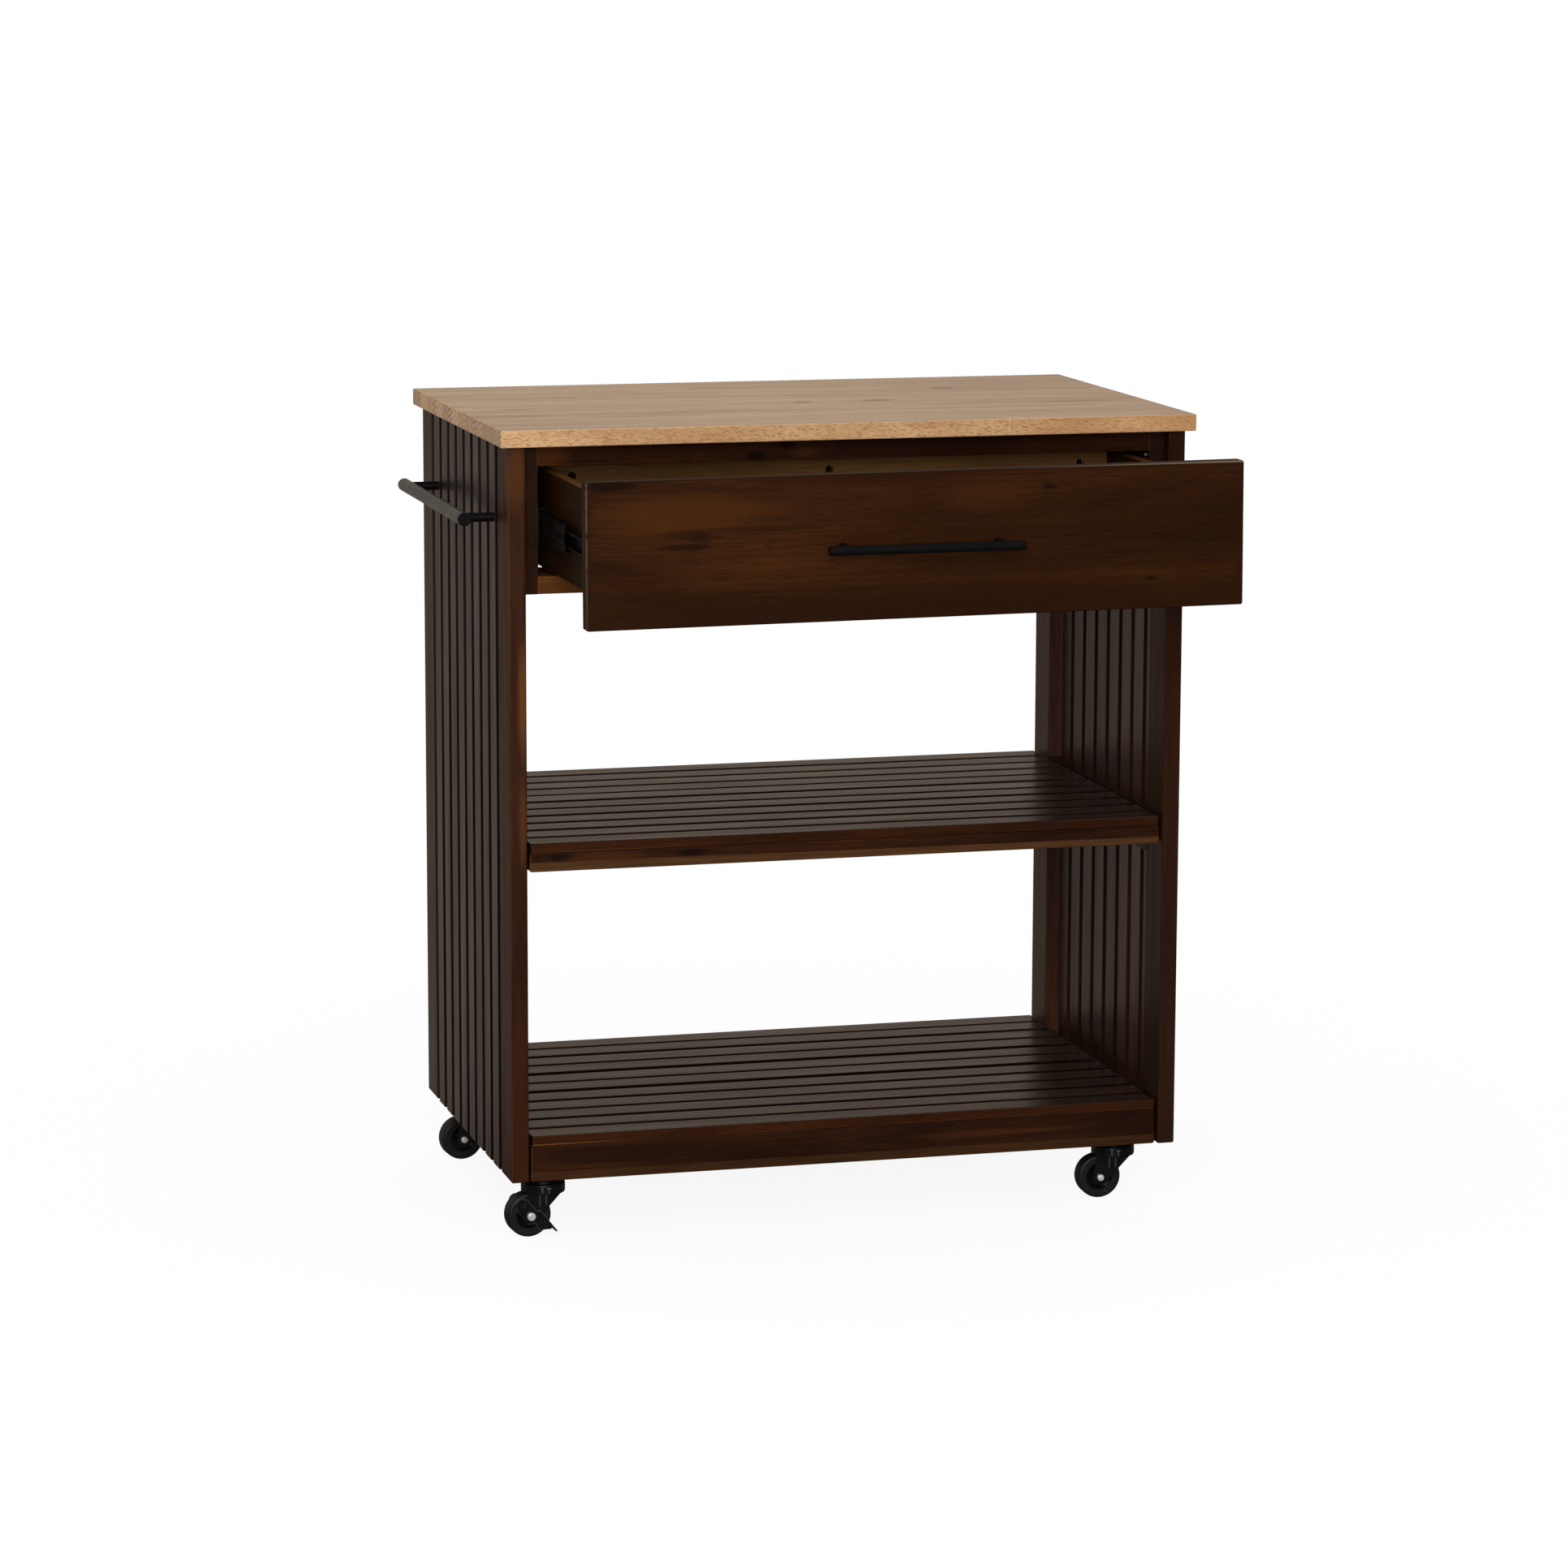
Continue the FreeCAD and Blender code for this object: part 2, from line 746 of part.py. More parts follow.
def make_kingpin():
    """The rivet that the fork turns on, headed under the crown."""
    head_top = crown_top - fork_sheet - running_clearance
    head = rod(Vector(0, 0, head_top - kingpin_head_height), along_z, kingpin_head_height, kingpin_head_radius)
    return head.fuse(rod(Vector(0, 0, head_top), along_z, caster_height - head_top, kingpin_radius))


def make_plate_screws():
    """The four screws of one caster plate."""
    half = plate_screw_spacing / 2
    z = caster_height - plate_thickness
    length = plate_thickness + plate_screw_length
    return [pan_screw(Vector(dx, dy, z), along_z, length) for dx in (-half, half) for dy in (-half, half)]


def make_fork():
    """The pressed fork: a shallow cup on top and two legs down to the axle."""
    axle = (-trail, wheel_radius)
    cup = rod(Vector(0, 0, crown_bottom), along_z, crown_depth, crown_radius)
    cup = ease(cup, crown_edge_radius, lambda box: box.ZMin > crown_top - crown_edge_radius
               and box.XMax - box.XMin > crown_radius)
    hollow = rod(Vector(0, 0, crown_bottom - overrun), along_z, crown_depth - fork_sheet + overrun,
                 crown_radius - fork_sheet)
    fork = cup.cut(hollow)
    chord = math.sqrt(crown_radius ** 2 - fork_leg_outer ** 2)
    leg_top = crown_top - fork_sheet
    top_left = (-leg_rear_x, leg_top)
    knee = (knee_x, knee_z)
    outline = [top_left, (chord, leg_top), (chord, crown_bottom - horn_drop), (horn_x, horn_z), knee,
               tangent_point(knee, axle, fork_boss_radius, -1), axle,
               tangent_point(top_left, axle, fork_boss_radius, 1)]
    for y_low in (-fork_leg_outer, fork_leg_inner):
        leg = plate_xz(outline, y_low, fork_sheet)
        leg = leg.fuse(disc_xz(axle[0], axle[1], fork_boss_radius, y_low, fork_sheet))
        fork = fork.fuse(leg)
    fork = fork.cut(rod(Vector(0, 0, crown_bottom), along_z, crown_depth + overrun,
                        kingpin_radius + running_clearance))
    axle_hole = disc_xz(axle[0], axle[1], axle_radius, -fork_leg_outer - overrun, (fork_leg_outer + overrun) * 2)
    return fork.cut(axle_hole).removeSplitter()


def make_axle(braked):
    """The axle bolt with a domed head in front, wider on a caster with a brake, and a nut behind."""
    stack = fork_leg_outer
    head_radius = plain_axle_head_radius
    if braked:
        stack = stack + cheek_gap * 2 + cheek_thickness
        head_radius = axle_head_radius
    head = disc_xz(-trail, wheel_radius, head_radius, -stack - axle_head_height, axle_head_height)
    head = ease(head, axle_head_edge_radius, lambda box: box.YMax < -stack - axle_head_height / 2)
    bolt = head.fuse(disc_xz(-trail, wheel_radius, axle_radius, -stack, stack * 2 + nut_height))
    corner_radius = nut_across_flats / 2 / math.cos(math.pi / 6)
    corners = []
    for index in range(6):
        angle = index * math.pi / 3
        corners.append((-trail + corner_radius * math.cos(angle), wheel_radius + corner_radius * math.sin(angle)))
    nut = plate_xz(corners, stack, nut_height)
    nut = nut.cut(disc_xz(-trail, wheel_radius, axle_radius, stack - overrun, nut_height + overrun * 2))
    return [bolt, nut]


def make_wheel():
    """The wheel: a core with hub, web and rim, and a rounded tread on it."""
    bore = axle_radius + running_clearance
    rim_outer = wheel_radius - tread_thickness
    rim_inner = rim_outer - wheel_rim_thickness
    core_half = [(bore, hub_width / 2), (hub_radius, hub_width / 2), (hub_radius, wheel_web_width / 2),
                 (rim_inner, wheel_web_width / 2), (rim_inner, wheel_rim_width / 2),
                 (rim_outer, wheel_rim_width / 2)]
    core_points = core_half + [(radius, -y) for radius, y in reversed(core_half)]
    core = turned(core_points, -trail, wheel_radius)
    half = wheel_width / 2
    tread_points = [(rim_outer, -half), (rim_outer, half), (wheel_radius, half), (wheel_radius, -half)]
    tread = turned(tread_points, -trail, wheel_radius)
    tread = ease(tread, tread_edge_radius, lambda box: box.ZMax - box.ZMin > rim_outer * 2 + tread_thickness
                 and box.YMax - box.YMin < half)
    return [core, tread]


def make_brake_lever():
    """The brake lever: a lobed cheek with a sloping edge outside each leg, and a pedal that joins them."""
    axle_x = -trail
    axle_z = wheel_radius
    heel = (axle_x + heel_x, axle_z + heel_z)
    slope = math.radians(pedal_slope)
    along = heel_x * math.cos(slope) - heel_z * math.sin(slope)
    pedal_reach = wheel_radius + pedal_wheel_clearance
    pedal_start = math.sqrt(along ** 2 - heel_x ** 2 - heel_z ** 2 + pedal_reach ** 2) - along
    pedal_end = pedal_start + pedal_width

    def on_slope(distance, height):
        """A point down the slope from the heel, and that high above the slope."""
        return (heel[0] + distance * math.cos(slope) + height * math.sin(slope),
                heel[1] - distance * math.sin(slope) + height * math.cos(slope))

    def slope_strip(start, end):
        """The outline of the bent sheet between two places on the slope."""
        return [on_slope(start, 0), on_slope(end, 0), on_slope(end, pedal_thickness),
                on_slope(start, pedal_thickness)]

    ear = (axle_x + ear_x, axle_z + ear_z)
    ear_distance = math.hypot(ear_x, ear_z)
    ear_angle = math.atan2(ear_z, ear_x)
    spread = math.acos((fork_boss_radius - ear_radius) / ear_distance)
    neck = []
    for centre, radius, side in ((ear, ear_radius, 1), ((axle_x, axle_z), fork_boss_radius, 1),
                                 ((axle_x, axle_z), fork_boss_radius, -1), (ear, ear_radius, -1)):
        angle = ear_angle + side * spread
        neck.append((centre[0] + radius * math.cos(angle), centre[1] + radius * math.sin(angle)))
    wedge = [(axle_x, axle_z), (axle_x + wedge_foot_x, axle_z + wedge_foot_z),
             (axle_x + wedge_tip_x, axle_z + wedge_tip_z), on_slope(pedal_end * pedal_web_share, 0), heel, ear]
    inner = fork_leg_outer + cheek_gap
    outer = inner + cheek_thickness
    lever = plate_xz(slope_strip(pedal_start, pedal_end), -outer, outer * 2)
    for y_low in (-outer, inner):
        cheek = disc_xz(ear[0], ear[1], ear_radius, y_low, cheek_thickness)
        cheek = cheek.fuse([disc_xz(axle_x, axle_z, fork_boss_radius, y_low, cheek_thickness),
                            plate_xz(neck, y_low, cheek_thickness), plate_xz(wedge, y_low, cheek_thickness),
                            plate_xz(slope_strip(0, pedal_end), y_low, cheek_thickness)])
        lever = lever.fuse(cheek)
    lever = lever.cut(disc_xz(axle_x, axle_z, axle_radius + running_clearance, -outer - overrun,
                              (outer + overrun) * 2))
    lever = lever.cut(disc_xz(ear[0], ear[1], ear_hole_radius, -outer - overrun, (outer + overrun) * 2))
    return lever.removeSplitter()


def placed(shape, x, y, turn):
    """A copy of a caster piece, turned about its swivel axis and set in its place."""
    copy = shape.copy()
    copy.rotate(origin, along_z, turn)
    copy.translate(Vector(x, y, 0))
    return copy


# All pieces by name

# Each caster: where its swivel axis stands, how far it is turned, and whether it has a brake
corners = {
    "front_left": (*caster_place(-1, -1, front_left_shift_shares), turn_front_left, True),
    "front_right": (*caster_place(1, -1, front_right_shift_shares), turn_front_right, False),
    "rear_left": (*caster_place(-1, 1, rear_left_shift_shares), turn_rear_left, False),
    "rear_right": (*caster_place(1, 1, rear_right_shift_shares), turn_rear_right, True),
}

nodes = {}
nodes["worktop"] = make_worktop()

front_stile = drill_stile(make_stile(front_plane))
rear_stile = drill_stile(make_stile(rear_plane - stile_depth))
nodes["stile_front_right"] = front_stile
nodes["stile_rear_right"] = rear_stile
nodes["stile_front_left"] = left_of(front_stile)
nodes["stile_rear_left"] = left_of(rear_stile)
nodes["side_slats_right"] = make_side_slats()
nodes["side_slats_left"] = drill_towel_holes(left_of(make_side_slats()))
nodes["side_bearers_right"] = make_bearers(False)
nodes["side_bearers_left"] = left_of(make_bearers(True))

nodes["runner_board_right"] = make_runner_board()
nodes["runner_board_left"] = left_of(make_runner_board())
nodes["front_top_stretcher"] = make_front_stretcher(under_top - top_stretcher_height, under_top)
nodes["front_bottom_stretcher"] = make_front_stretcher(zone_bottom, zone_bottom + bottom_stretcher_height)
nodes["rear_apron"] = make_rear_apron()

mid_slat_bottom = mid_shelf_top - shelf_slat_thickness
mid_rail_bottom = mid_slat_bottom - mid_rail_height
rear_rail_front = shelf_rear - rail_thickness
nodes["mid_shelf_front_rail"] = make_rail(shelf_front, mid_rail_bottom, mid_slat_bottom)
nodes["mid_shelf_rear_rail"] = make_rail(rear_rail_front, mid_rail_bottom, mid_slat_bottom)
nodes["mid_shelf_slats"] = make_shelf_slats(mid_slat_bottom, mid_slat_shift_shares)
mid_cleat = make_cleats(mid_rail_bottom, mid_slat_bottom)
nodes["mid_shelf_cleats"] = group([mid_cleat, left_of(mid_cleat)])
nodes["bottom_shelf_front_rail"] = make_rail(shelf_front, panel_bottom, bottom_slat_bottom)
nodes["bottom_shelf_rear_rail"] = make_rail(rear_rail_front, panel_bottom, bottom_slat_bottom)
nodes["bottom_shelf_slats"] = make_shelf_slats(bottom_slat_bottom, bottom_slat_shift_shares)
nodes["bottom_shelf_cleats"] = make_bottom_cleats()
nodes["caster_blocks"] = make_caster_blocks()

nodes["slide_outer_right"] = make_outer_member()
nodes["slide_outer_left"] = left_of(make_outer_member())
nodes["slide_middle_right"] = make_middle_member()
nodes["slide_middle_left"] = left_of(make_middle_member())
nodes["slide_inner_right"] = make_inner_member()
nodes["slide_inner_left"] = left_of(make_inner_member())

nodes["drawer_front"] = make_drawer_front()
nodes["drawer_inner_front"] = make_inner_front()
nodes["drawer_side_right"] = make_drawer_side()
nodes["drawer_side_left"] = left_of(make_drawer_side())
nodes["drawer_back"] = make_drawer_back()
nodes["drawer_bottom"] = drawer_bottom_block()
nodes["pull_bar"] = make_pull_bar()
nodes["pull_posts"] = make_pull_posts()
nodes["drawer_screws"] = make_drawer_screws()

nodes["towel_bar"] = towel_rod(towel_length - towel_cap_thickness * 2, towel_radius)
nodes["towel_bar_caps"] = make_towel_caps()
nodes["towel_bar_posts"] = make_towel_posts()
nodes["towel_bar_screws"] = make_towel_screws()
nodes["frame_screws"] = make_frame_screws()

caster_plates = []
kingpins = []
plate_screws = []
for corner, (x, y, turn, braked) in corners.items():
    caster_plates.append(placed(make_caster_plate(), x, y, 0))
    kingpins.append(placed(make_kingpin(), x, y, 0))
    plate_screws += [placed(screw, x, y, 0) for screw in make_plate_screws()]
    nodes["caster_fork_" + corner] = placed(make_fork(), x, y, turn)
    nodes["caster_axle_" + corner] = group([placed(piece, x, y, turn) for piece in make_axle(braked)])
    nodes["caster_wheel_" + corner] = group([placed(piece, x, y, turn) for piece in make_wheel()])
    if braked:
        nodes["brake_lever_" + corner] = placed(make_brake_lever(), x, y, turn)
nodes["caster_plates"] = group(caster_plates)
nodes["caster_kingpins"] = group(kingpins)
nodes["caster_plate_screws"] = group(plate_screws)

# The origin goes to the floor under the middle of the whole outline, towel bar and open drawer included
left_reach = max(half_top_width, towel_x + towel_radius)
right_reach = half_top_width
front_reach = max(half_top_depth, -pull_y + pull_radius)
rear_reach = half_top_depth
to_middle = Vector((left_reach - right_reach) / 2, (front_reach - rear_reach) / 2, 0)

os.makedirs("parts", exist_ok=True)
for name, shape in nodes.items():
    shape.translate(to_middle)
    shape.exportStep("parts/" + name + ".step")
    print(name, len(shape.Solids), "solids", "valid" if shape.isValid() else "NOT VALID")
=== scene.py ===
import json
import math

import bpy
from mathutils import Matrix, Vector


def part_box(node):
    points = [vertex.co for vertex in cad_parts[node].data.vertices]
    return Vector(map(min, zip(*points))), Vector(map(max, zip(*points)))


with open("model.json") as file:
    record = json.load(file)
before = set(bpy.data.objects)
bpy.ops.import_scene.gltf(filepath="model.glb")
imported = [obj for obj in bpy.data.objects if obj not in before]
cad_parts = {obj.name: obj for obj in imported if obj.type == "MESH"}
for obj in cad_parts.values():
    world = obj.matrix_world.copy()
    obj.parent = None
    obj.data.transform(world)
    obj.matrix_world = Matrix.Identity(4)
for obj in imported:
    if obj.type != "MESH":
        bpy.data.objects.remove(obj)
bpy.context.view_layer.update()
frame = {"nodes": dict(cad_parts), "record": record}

# Kitchen cart: looks, light and camera. Lengths are in metres and angles in degrees.

MM = 0.001

# Axes by name
X, Y, Z = 0, 1, 2

# Camera: where it stood, which way it looked, and its focal length in pixels of the photograph
image_width = 1932
camera_place = Vector((-1.5378, -5.58156, 1.49747))
camera_yaw = 15.0665
camera_pitch = 9.8278
camera_roll = 0.1783
focal_pixels = 6358.3
view_reach = 200.0

# The camera's sensor, in Blender's millimetres
sensor_width = 36.0

# Light: a colour on the front renders about as it is written
room_strength = 0.60
key_distance = 5.0
key_turn = 15.0
key_rise = 17.0
key_size = 2.4
key_power = 135.0
key_aim = Vector((0.0, 0.0, 0.55))

# The room as mirrored surfaces see it: dim on the camera's side, pale behind the cart and above
mirrored_front = 0.03
mirrored_rear_left = 0.28
mirrored_rear_right = 0.34
mirrored_above = 0.46
mirrored_floor_rear = 0.30
mirrored_floor_start = -0.3
mirrored_floor_end = 0.9
mirrored_tone = (1.0, 0.82, 0.67, 1.0)

# Floor: its pale tone, and how much of its shadow the camera sees near the cart
floor_reach = 60.0
floor_tone = 0.80
floor_seen_tone = 1.35
floor_shadow_share = 0.09
shadow_near = 0.7
shadow_far = 1.8

# Counts: slats in a side, slats in a shelf, and staves across the worktop
side_slat_count = 8
shelf_slat_count = 11
stave_count = 11

# Wood: distance between growth rings, depth of the relief, and how far the edge tone reaches from an edge:
# wear, painted shade on the side slats, a painted highlight on the worktop
ring_spacing = 7.0 * MM
top_ring_spacing = 4.5 * MM
plain_relief = 0.12 * MM
stile_relief = 0.08 * MM
front_relief = 0.06 * MM
side_slat_relief = 0.04 * MM
shelf_slat_relief = 0.03 * MM
top_relief = 0.04 * MM
plain_wear_and_shade = 2.2 * MM
narrow_wear = 1.2 * MM
top_highlight_width = 1.8 * MM

# Where a board lay in its log, by luck: how far it moves along and across, and where the heart lies beside it
log_spread = (9.0, 3.0, 5.0)
heart_spread = (0.11, 0.07)
heart_distance = (0.06, 0.04)

# Noise scales per metre: along the grain, and twice across it
slow_scales = (1.6, 14.0, 14.0)
blotch_scales = (5.0, 22.0, 22.0)
streak_scales = (3.0, 160.0, 160.0)
fibre_scales = (16.0, 620.0, 620.0)
dash_scales = (60.0, 900.0, 900.0)
broad_streak_scales = (1.3, 60.0, 60.0)
thin_streak_scales = (2.2, 120.0, 120.0)
fleck_scales = (210.0, 900.0, 1300.0)

# Marks on the wood: soft edges of shaded faces and bands, how far figures reach in, and the darker border
face_step = 1.0 * MM
band_step = 0.5 * MM
band_waver = 3.0 * MM
figure_depth = 60.0 * MM
stretcher_figure_depth = 80.0 * MM
border_width = 13.0 * MM

# Painted highlights along arrises: their widths, and how far along a shelf slat its highlight is full and
# ends
front_line_width = 2.4 * MM
frame_line_width = 1.6 * MM
slat_line_width = 1.8 * MM
slat_line_full = 90.0 * MM
slat_line_end = 240.0 * MM

# Shelf slats: the usual gap between two, and how far behind the front face the painted shade in the gaps
# begins
shelf_slat_gap = 8.95 * MM
front_slat_nose = 4.0 * MM

# Worktop: lengths of stave butted end to end, and the soft lines of their joints
stave_length = 620.0 * MM
first_joint = 179.0 * MM
stave_stagger_share = 0.381
joint_outer = 0.9 * MM
joint_inner = 0.3 * MM

# Worktop: the slant of its flecks, the size of its knots, and the heart of the rings in its ends
fleck_slope = 0.10
knot_half_width = 11.0 * MM
knot_depth = 8.0 * MM
heart_below = 14.0 * MM
heart_above = 30.0 * MM

# Metal and rubber: relief, reach of the painted highlights on edges, and the radius at which an edge catches
# the light
metal_relief = 0.01 * MM
wheel_relief = 0.008 * MM
edge_light_reach = 0.7 * MM
steel_edge = 0.8 * MM
zinc_edge = 0.6 * MM
wheel_edge = 0.5 * MM

# A wheel's tread: the radius at which it starts, and half its soft edge
tread_radius = 15.9 * MM
tread_step = 0.1 * MM

# Painted highlights down the creases of a fork's legs: how far ahead of the axle each runs, and the half
# width of its painted glint
creases = ((10.8 * MM, 1.1 * MM), (18.2 * MM, 2.8 * MM))
crease_half_width = 1.5 * MM

# Heights above the axle: a crease's painted highlight starts, is full, stays full and ends, and its painted
# glint lies near the end
crease_foot = 8.0 * MM
crease_full = 14.0 * MM
crease_top_full = 32.0 * MM
crease_top = 34.0 * MM
glint_height = 33.0 * MM
glint_outer = 0.8 * MM
glint_inner = 0.3 * MM


def colour(red, green, blue):
    """An opaque colour from its linear shares."""
    return (red, green, blue, 1.0)


def grey(value):
    """A neutral colour."""
    return colour(value, value, value)


def even(scale):
    """The same noise scale along every axis."""
    return (scale, scale, scale)


class Tree:
    """A node tree with short ways to add and join its nodes."""

    def __init__(self, tree):
        self.tree = tree
        self.tree.nodes.clear()

    def add(self, kind, **settings):
        """A new node with its settings."""
        node = self.tree.nodes.new(kind)
        for key, value in settings.items():
            setattr(node, key, value)
        return node

    def feed(self, socket, value):
        """Give a socket a number or colour, or another node's output."""
        if isinstance(value, bpy.types.NodeSocket):
            self.tree.links.new(value, socket)
        else:
            socket.default_value = value

    def feed_all(self, sockets, values):
        """Give a row of sockets their values in order."""
        for socket, value in zip(sockets, values):
            self.feed(socket, value)

    def math(self, operation, *values):
        """The result of one arithmetic step."""
        node = self.add("ShaderNodeMath", operation=operation)
        self.feed_all(node.inputs, values)
        return node.outputs[0]

    def plus(self, first, second):
        """The sum of two values."""
        return self.math("ADD", first, second)

    def minus(self, first, second):
        """The first value less the second."""
        return self.math("SUBTRACT", first, second)

    def times(self, first, second):
        """The product of two values."""
        return self.math("MULTIPLY", first, second)

    def floor(self, value):
        """The whole number at or below a value."""
        return self.math("FLOOR", value)

    def size(self, value):
        """A value without its sign."""
        return self.math("ABSOLUTE", value)

    def length(self, first, second):
        """The distance over two legs at right angles."""
        return self.math("SQRT", self.plus(self.times(first, first), self.times(second, second)))

    def ease(self, value, low, high, start=0.0, end=1.0):
        """Start below low, end above high, and a smooth step between."""
        node = self.add("ShaderNodeMapRange", interpolation_type="SMOOTHSTEP")
        names = ("Value", "From Min", "From Max", "To Min", "To Max")
        self.feed_all([node.inputs[name] for name in names], (value, low, high, start, end))
        return node.outputs[0]

    def mix(self, share, first, second, blend="MIX"):
        """A colour between two colours."""
        node = self.add("ShaderNodeMix", data_type="RGBA", blend_type=blend)
        self.feed_all((node.inputs[0], node.inputs[6], node.inputs[7]), (share, first, second))
        return node.outputs[2]

    def shaded(self, tone, shade):
        """A colour made lighter or darker by a factor."""
        return self.mix(1.0, tone, self.point(shade, shade, shade), "MULTIPLY")

    def point(self, u, v, w):
        """Three numbers as one vector."""
        node = self.add("ShaderNodeCombineXYZ")
        self.feed_all(node.inputs, (u, v, w))
        return node.outputs[0]

    def split(self, vector):
        """A vector as three numbers."""
        node = self.add("ShaderNodeSeparateXYZ")
        self.feed(node.inputs[0], vector)
        return list(node.outputs)

    def noise(self, where, scales, detail=3.0, roughness=0.5):
        """Fractal noise from 0 to 1, with its own scale per metre along each axis."""
        stretched = self.add("ShaderNodeVectorMath", operation="MULTIPLY")
        self.feed_all(stretched.inputs, (where, scales))
        node = self.add("ShaderNodeTexNoise")
        names = ("Vector", "Scale", "Detail", "Roughness")
        self.feed_all([node.inputs[name] for name in names], (stretched.outputs[0], 1.0, detail, roughness))
        return node.outputs["Fac"]

    def chance(self, value):
        """A fixed random number from 0 to 1 for each whole number."""
        node = self.add("ShaderNodeTexWhiteNoise", noise_dimensions="1D")
        self.feed(node.inputs["W"], value)
        return node.outputs["Value"]

    def coordinates(self, kind):
        """The place of the point that is shaded, along the three axes."""
        return self.split(self.add("ShaderNodeTexCoord").outputs[kind])

    def matt(self, tone):
        """A dull shader of one tone."""
        node = self.add("ShaderNodeBsdfDiffuse")
        self.feed(node.inputs["Color"], tone)
        return node.outputs[0]

    def glow(self, tone, strength):
        """A shader that shines by itself."""
        node = self.add("ShaderNodeEmission")
        self.feed_all((node.inputs["Color"], node.inputs["Strength"]), (tone, strength))
        return node.outputs[0]

    def blend(self, share, first, second):
        """A shader between two shaders."""
        node = self.add("ShaderNodeMixShader")
        self.feed_all(node.inputs, (share, first, second))
        return node.outputs[0]

    def rays(self):
        """One for a ray from the camera, and one for a ray off a mirror or through glass."""
        path = self.add("ShaderNodeLightPath").outputs
        return path["Is Camera Ray"], self.math("MAXIMUM", path["Is Glossy Ray"], path["Is Transmission Ray"])


class Surface(Tree):
    """A material, with its coordinates at rest."""

    def __init__(self, name, roughness, specular=0.5, metallic=0.0):
        self.material = bpy.data.materials.new(name)
        self.material.use_nodes = True
        super().__init__(self.material.node_tree)
        output = self.add("ShaderNodeOutputMaterial")
        self.shader = self.add("ShaderNodeBsdfPrincipled")
        self.feed(output.inputs[0], self.shader.outputs[0])
        self.set("Roughness", roughness)
        self.set("Specular IOR Level", specular)
        self.set("Metallic", metallic)
        self.axes = self.coordinates("Object")
        self.roughness = roughness

    def set(self, name, value):
        """Give one of the shader's named sockets a value."""
        self.feed(self.shader.inputs[name], value)

    def lay(self, share, tone):
        """Cover the tone so far with another, by a share."""
        self.tone = self.mix(share, self.tone, tone)

    def facing(self, axis):
        """One where the face looks along an axis, either way."""
        normal = self.split(self.add("ShaderNodeNewGeometry").outputs["True Normal"])
        return self.ease(self.size(normal[axis]), 0.7, 0.8)

    def rim(self, radius, low=0.01, high=0.25):
        """One on sharp and rounded edges, zero on flat faces."""
        bevel = self.add("ShaderNodeBevel", samples=4)
        self.feed(bevel.inputs["Radius"], radius)
        flat = self.add("ShaderNodeNewGeometry").outputs["True Normal"]
        dot = self.add("ShaderNodeVectorMath", operation="DOT_PRODUCT")
        self.feed_all(dot.inputs, (bevel.outputs[0], flat))
        return self.ease(self.minus(1.0, dot.outputs["Value"]), low, high)

    def bump(self, height, distance, edge_radius=0.0):
        """A fine relief, on edges that catch the light as if rounded by the given radius."""
        node = self.add("ShaderNodeBump")
        names = ("Strength", "Distance", "Height")
        self.feed_all([node.inputs[name] for name in names], (1.0, distance, height))
        if edge_radius:
            bevel = self.add("ShaderNodeBevel", samples=6)
            self.feed(bevel.inputs["Radius"], edge_radius)
            self.feed(node.inputs["Normal"], bevel.outputs[0])
        self.set("Normal", node.outputs[0])


# Wood

class Tones:
    """The colours of one kind of wood, from its pores to its edge tone: wear on some woods, a painted
    highlight or painted shade on others.
    """

    def __init__(self, pore, dark, middle, light, wear_and_painted_light):
        self.pore = colour(*pore)
        self.dark = colour(*dark)
        self.middle = colour(*middle)
        self.light = colour(*light)
        self.wear_and_painted_light = colour(*wear_and_painted_light)


# Stained wood of the frame: hidden and rear boards, rails, the front left stile and the rear right one
dark_tones = Tones(
    pore=(0.007, 0.002, 0.001),
    dark=(0.017, 0.005, 0.002),
    middle=(0.030, 0.010, 0.004),
    light=(0.046, 0.017, 0.006),
    wear_and_painted_light=(0.13, 0.048, 0.012))
# The rail and stile edge tones serve as wear, and as a painted highlight along the front arrises
rail_tones = Tones(
    pore=(0.007, 0.002, 0.001),
    dark=(0.017, 0.005, 0.002),
    middle=(0.034, 0.010, 0.003),
    light=(0.060, 0.018, 0.004),
    wear_and_painted_light=(0.22, 0.09, 0.02))
stile_tones = Tones(
    pore=(0.014, 0.003, 0.001),
    dark=(0.026, 0.0066, 0.002),
    middle=(0.040, 0.011, 0.003),
    light=(0.058, 0.017, 0.004),
    wear_and_painted_light=(0.30, 0.13, 0.04))
brown_tones = Tones(
    pore=(0.014, 0.005, 0.002),
    dark=(0.036, 0.012, 0.0045),
    middle=(0.060, 0.021, 0.008),
    light=(0.090, 0.034, 0.012),
    wear_and_painted_light=(0.13, 0.048, 0.012))

# Slats of the two sides and of the shelves
# The side slats' edge tone is near black: painted shade along their long edges and in the gaps
slat_tones = Tones(
    pore=(0.006, 0.002, 0.001),
    dark=(0.016, 0.006, 0.003),
    middle=(0.025, 0.010, 0.004),
    light=(0.036, 0.015, 0.006),
    wear_and_painted_light=(0.002, 0.001, 0.001))
# The right side's slats, seen from inside the cart: a lighter, redder copy of the same wood, painted light
painted_light_slat_tones = Tones(
    pore=(0.008, 0.003, 0.001),
    dark=(0.026, 0.009, 0.004),
    middle=(0.044, 0.016, 0.006),
    light=(0.064, 0.026, 0.009),
    wear_and_painted_light=(0.002, 0.001, 0.001))
# The shelves' edge tone is a painted highlight along the front slat's lower arris
shelf_tones = Tones(
    pore=(0.006, 0.002, 0.001),
    dark=(0.020, 0.008, 0.003),
    middle=(0.030, 0.012, 0.004),
    light=(0.044, 0.018, 0.006),
    wear_and_painted_light=(0.22, 0.09, 0.02))
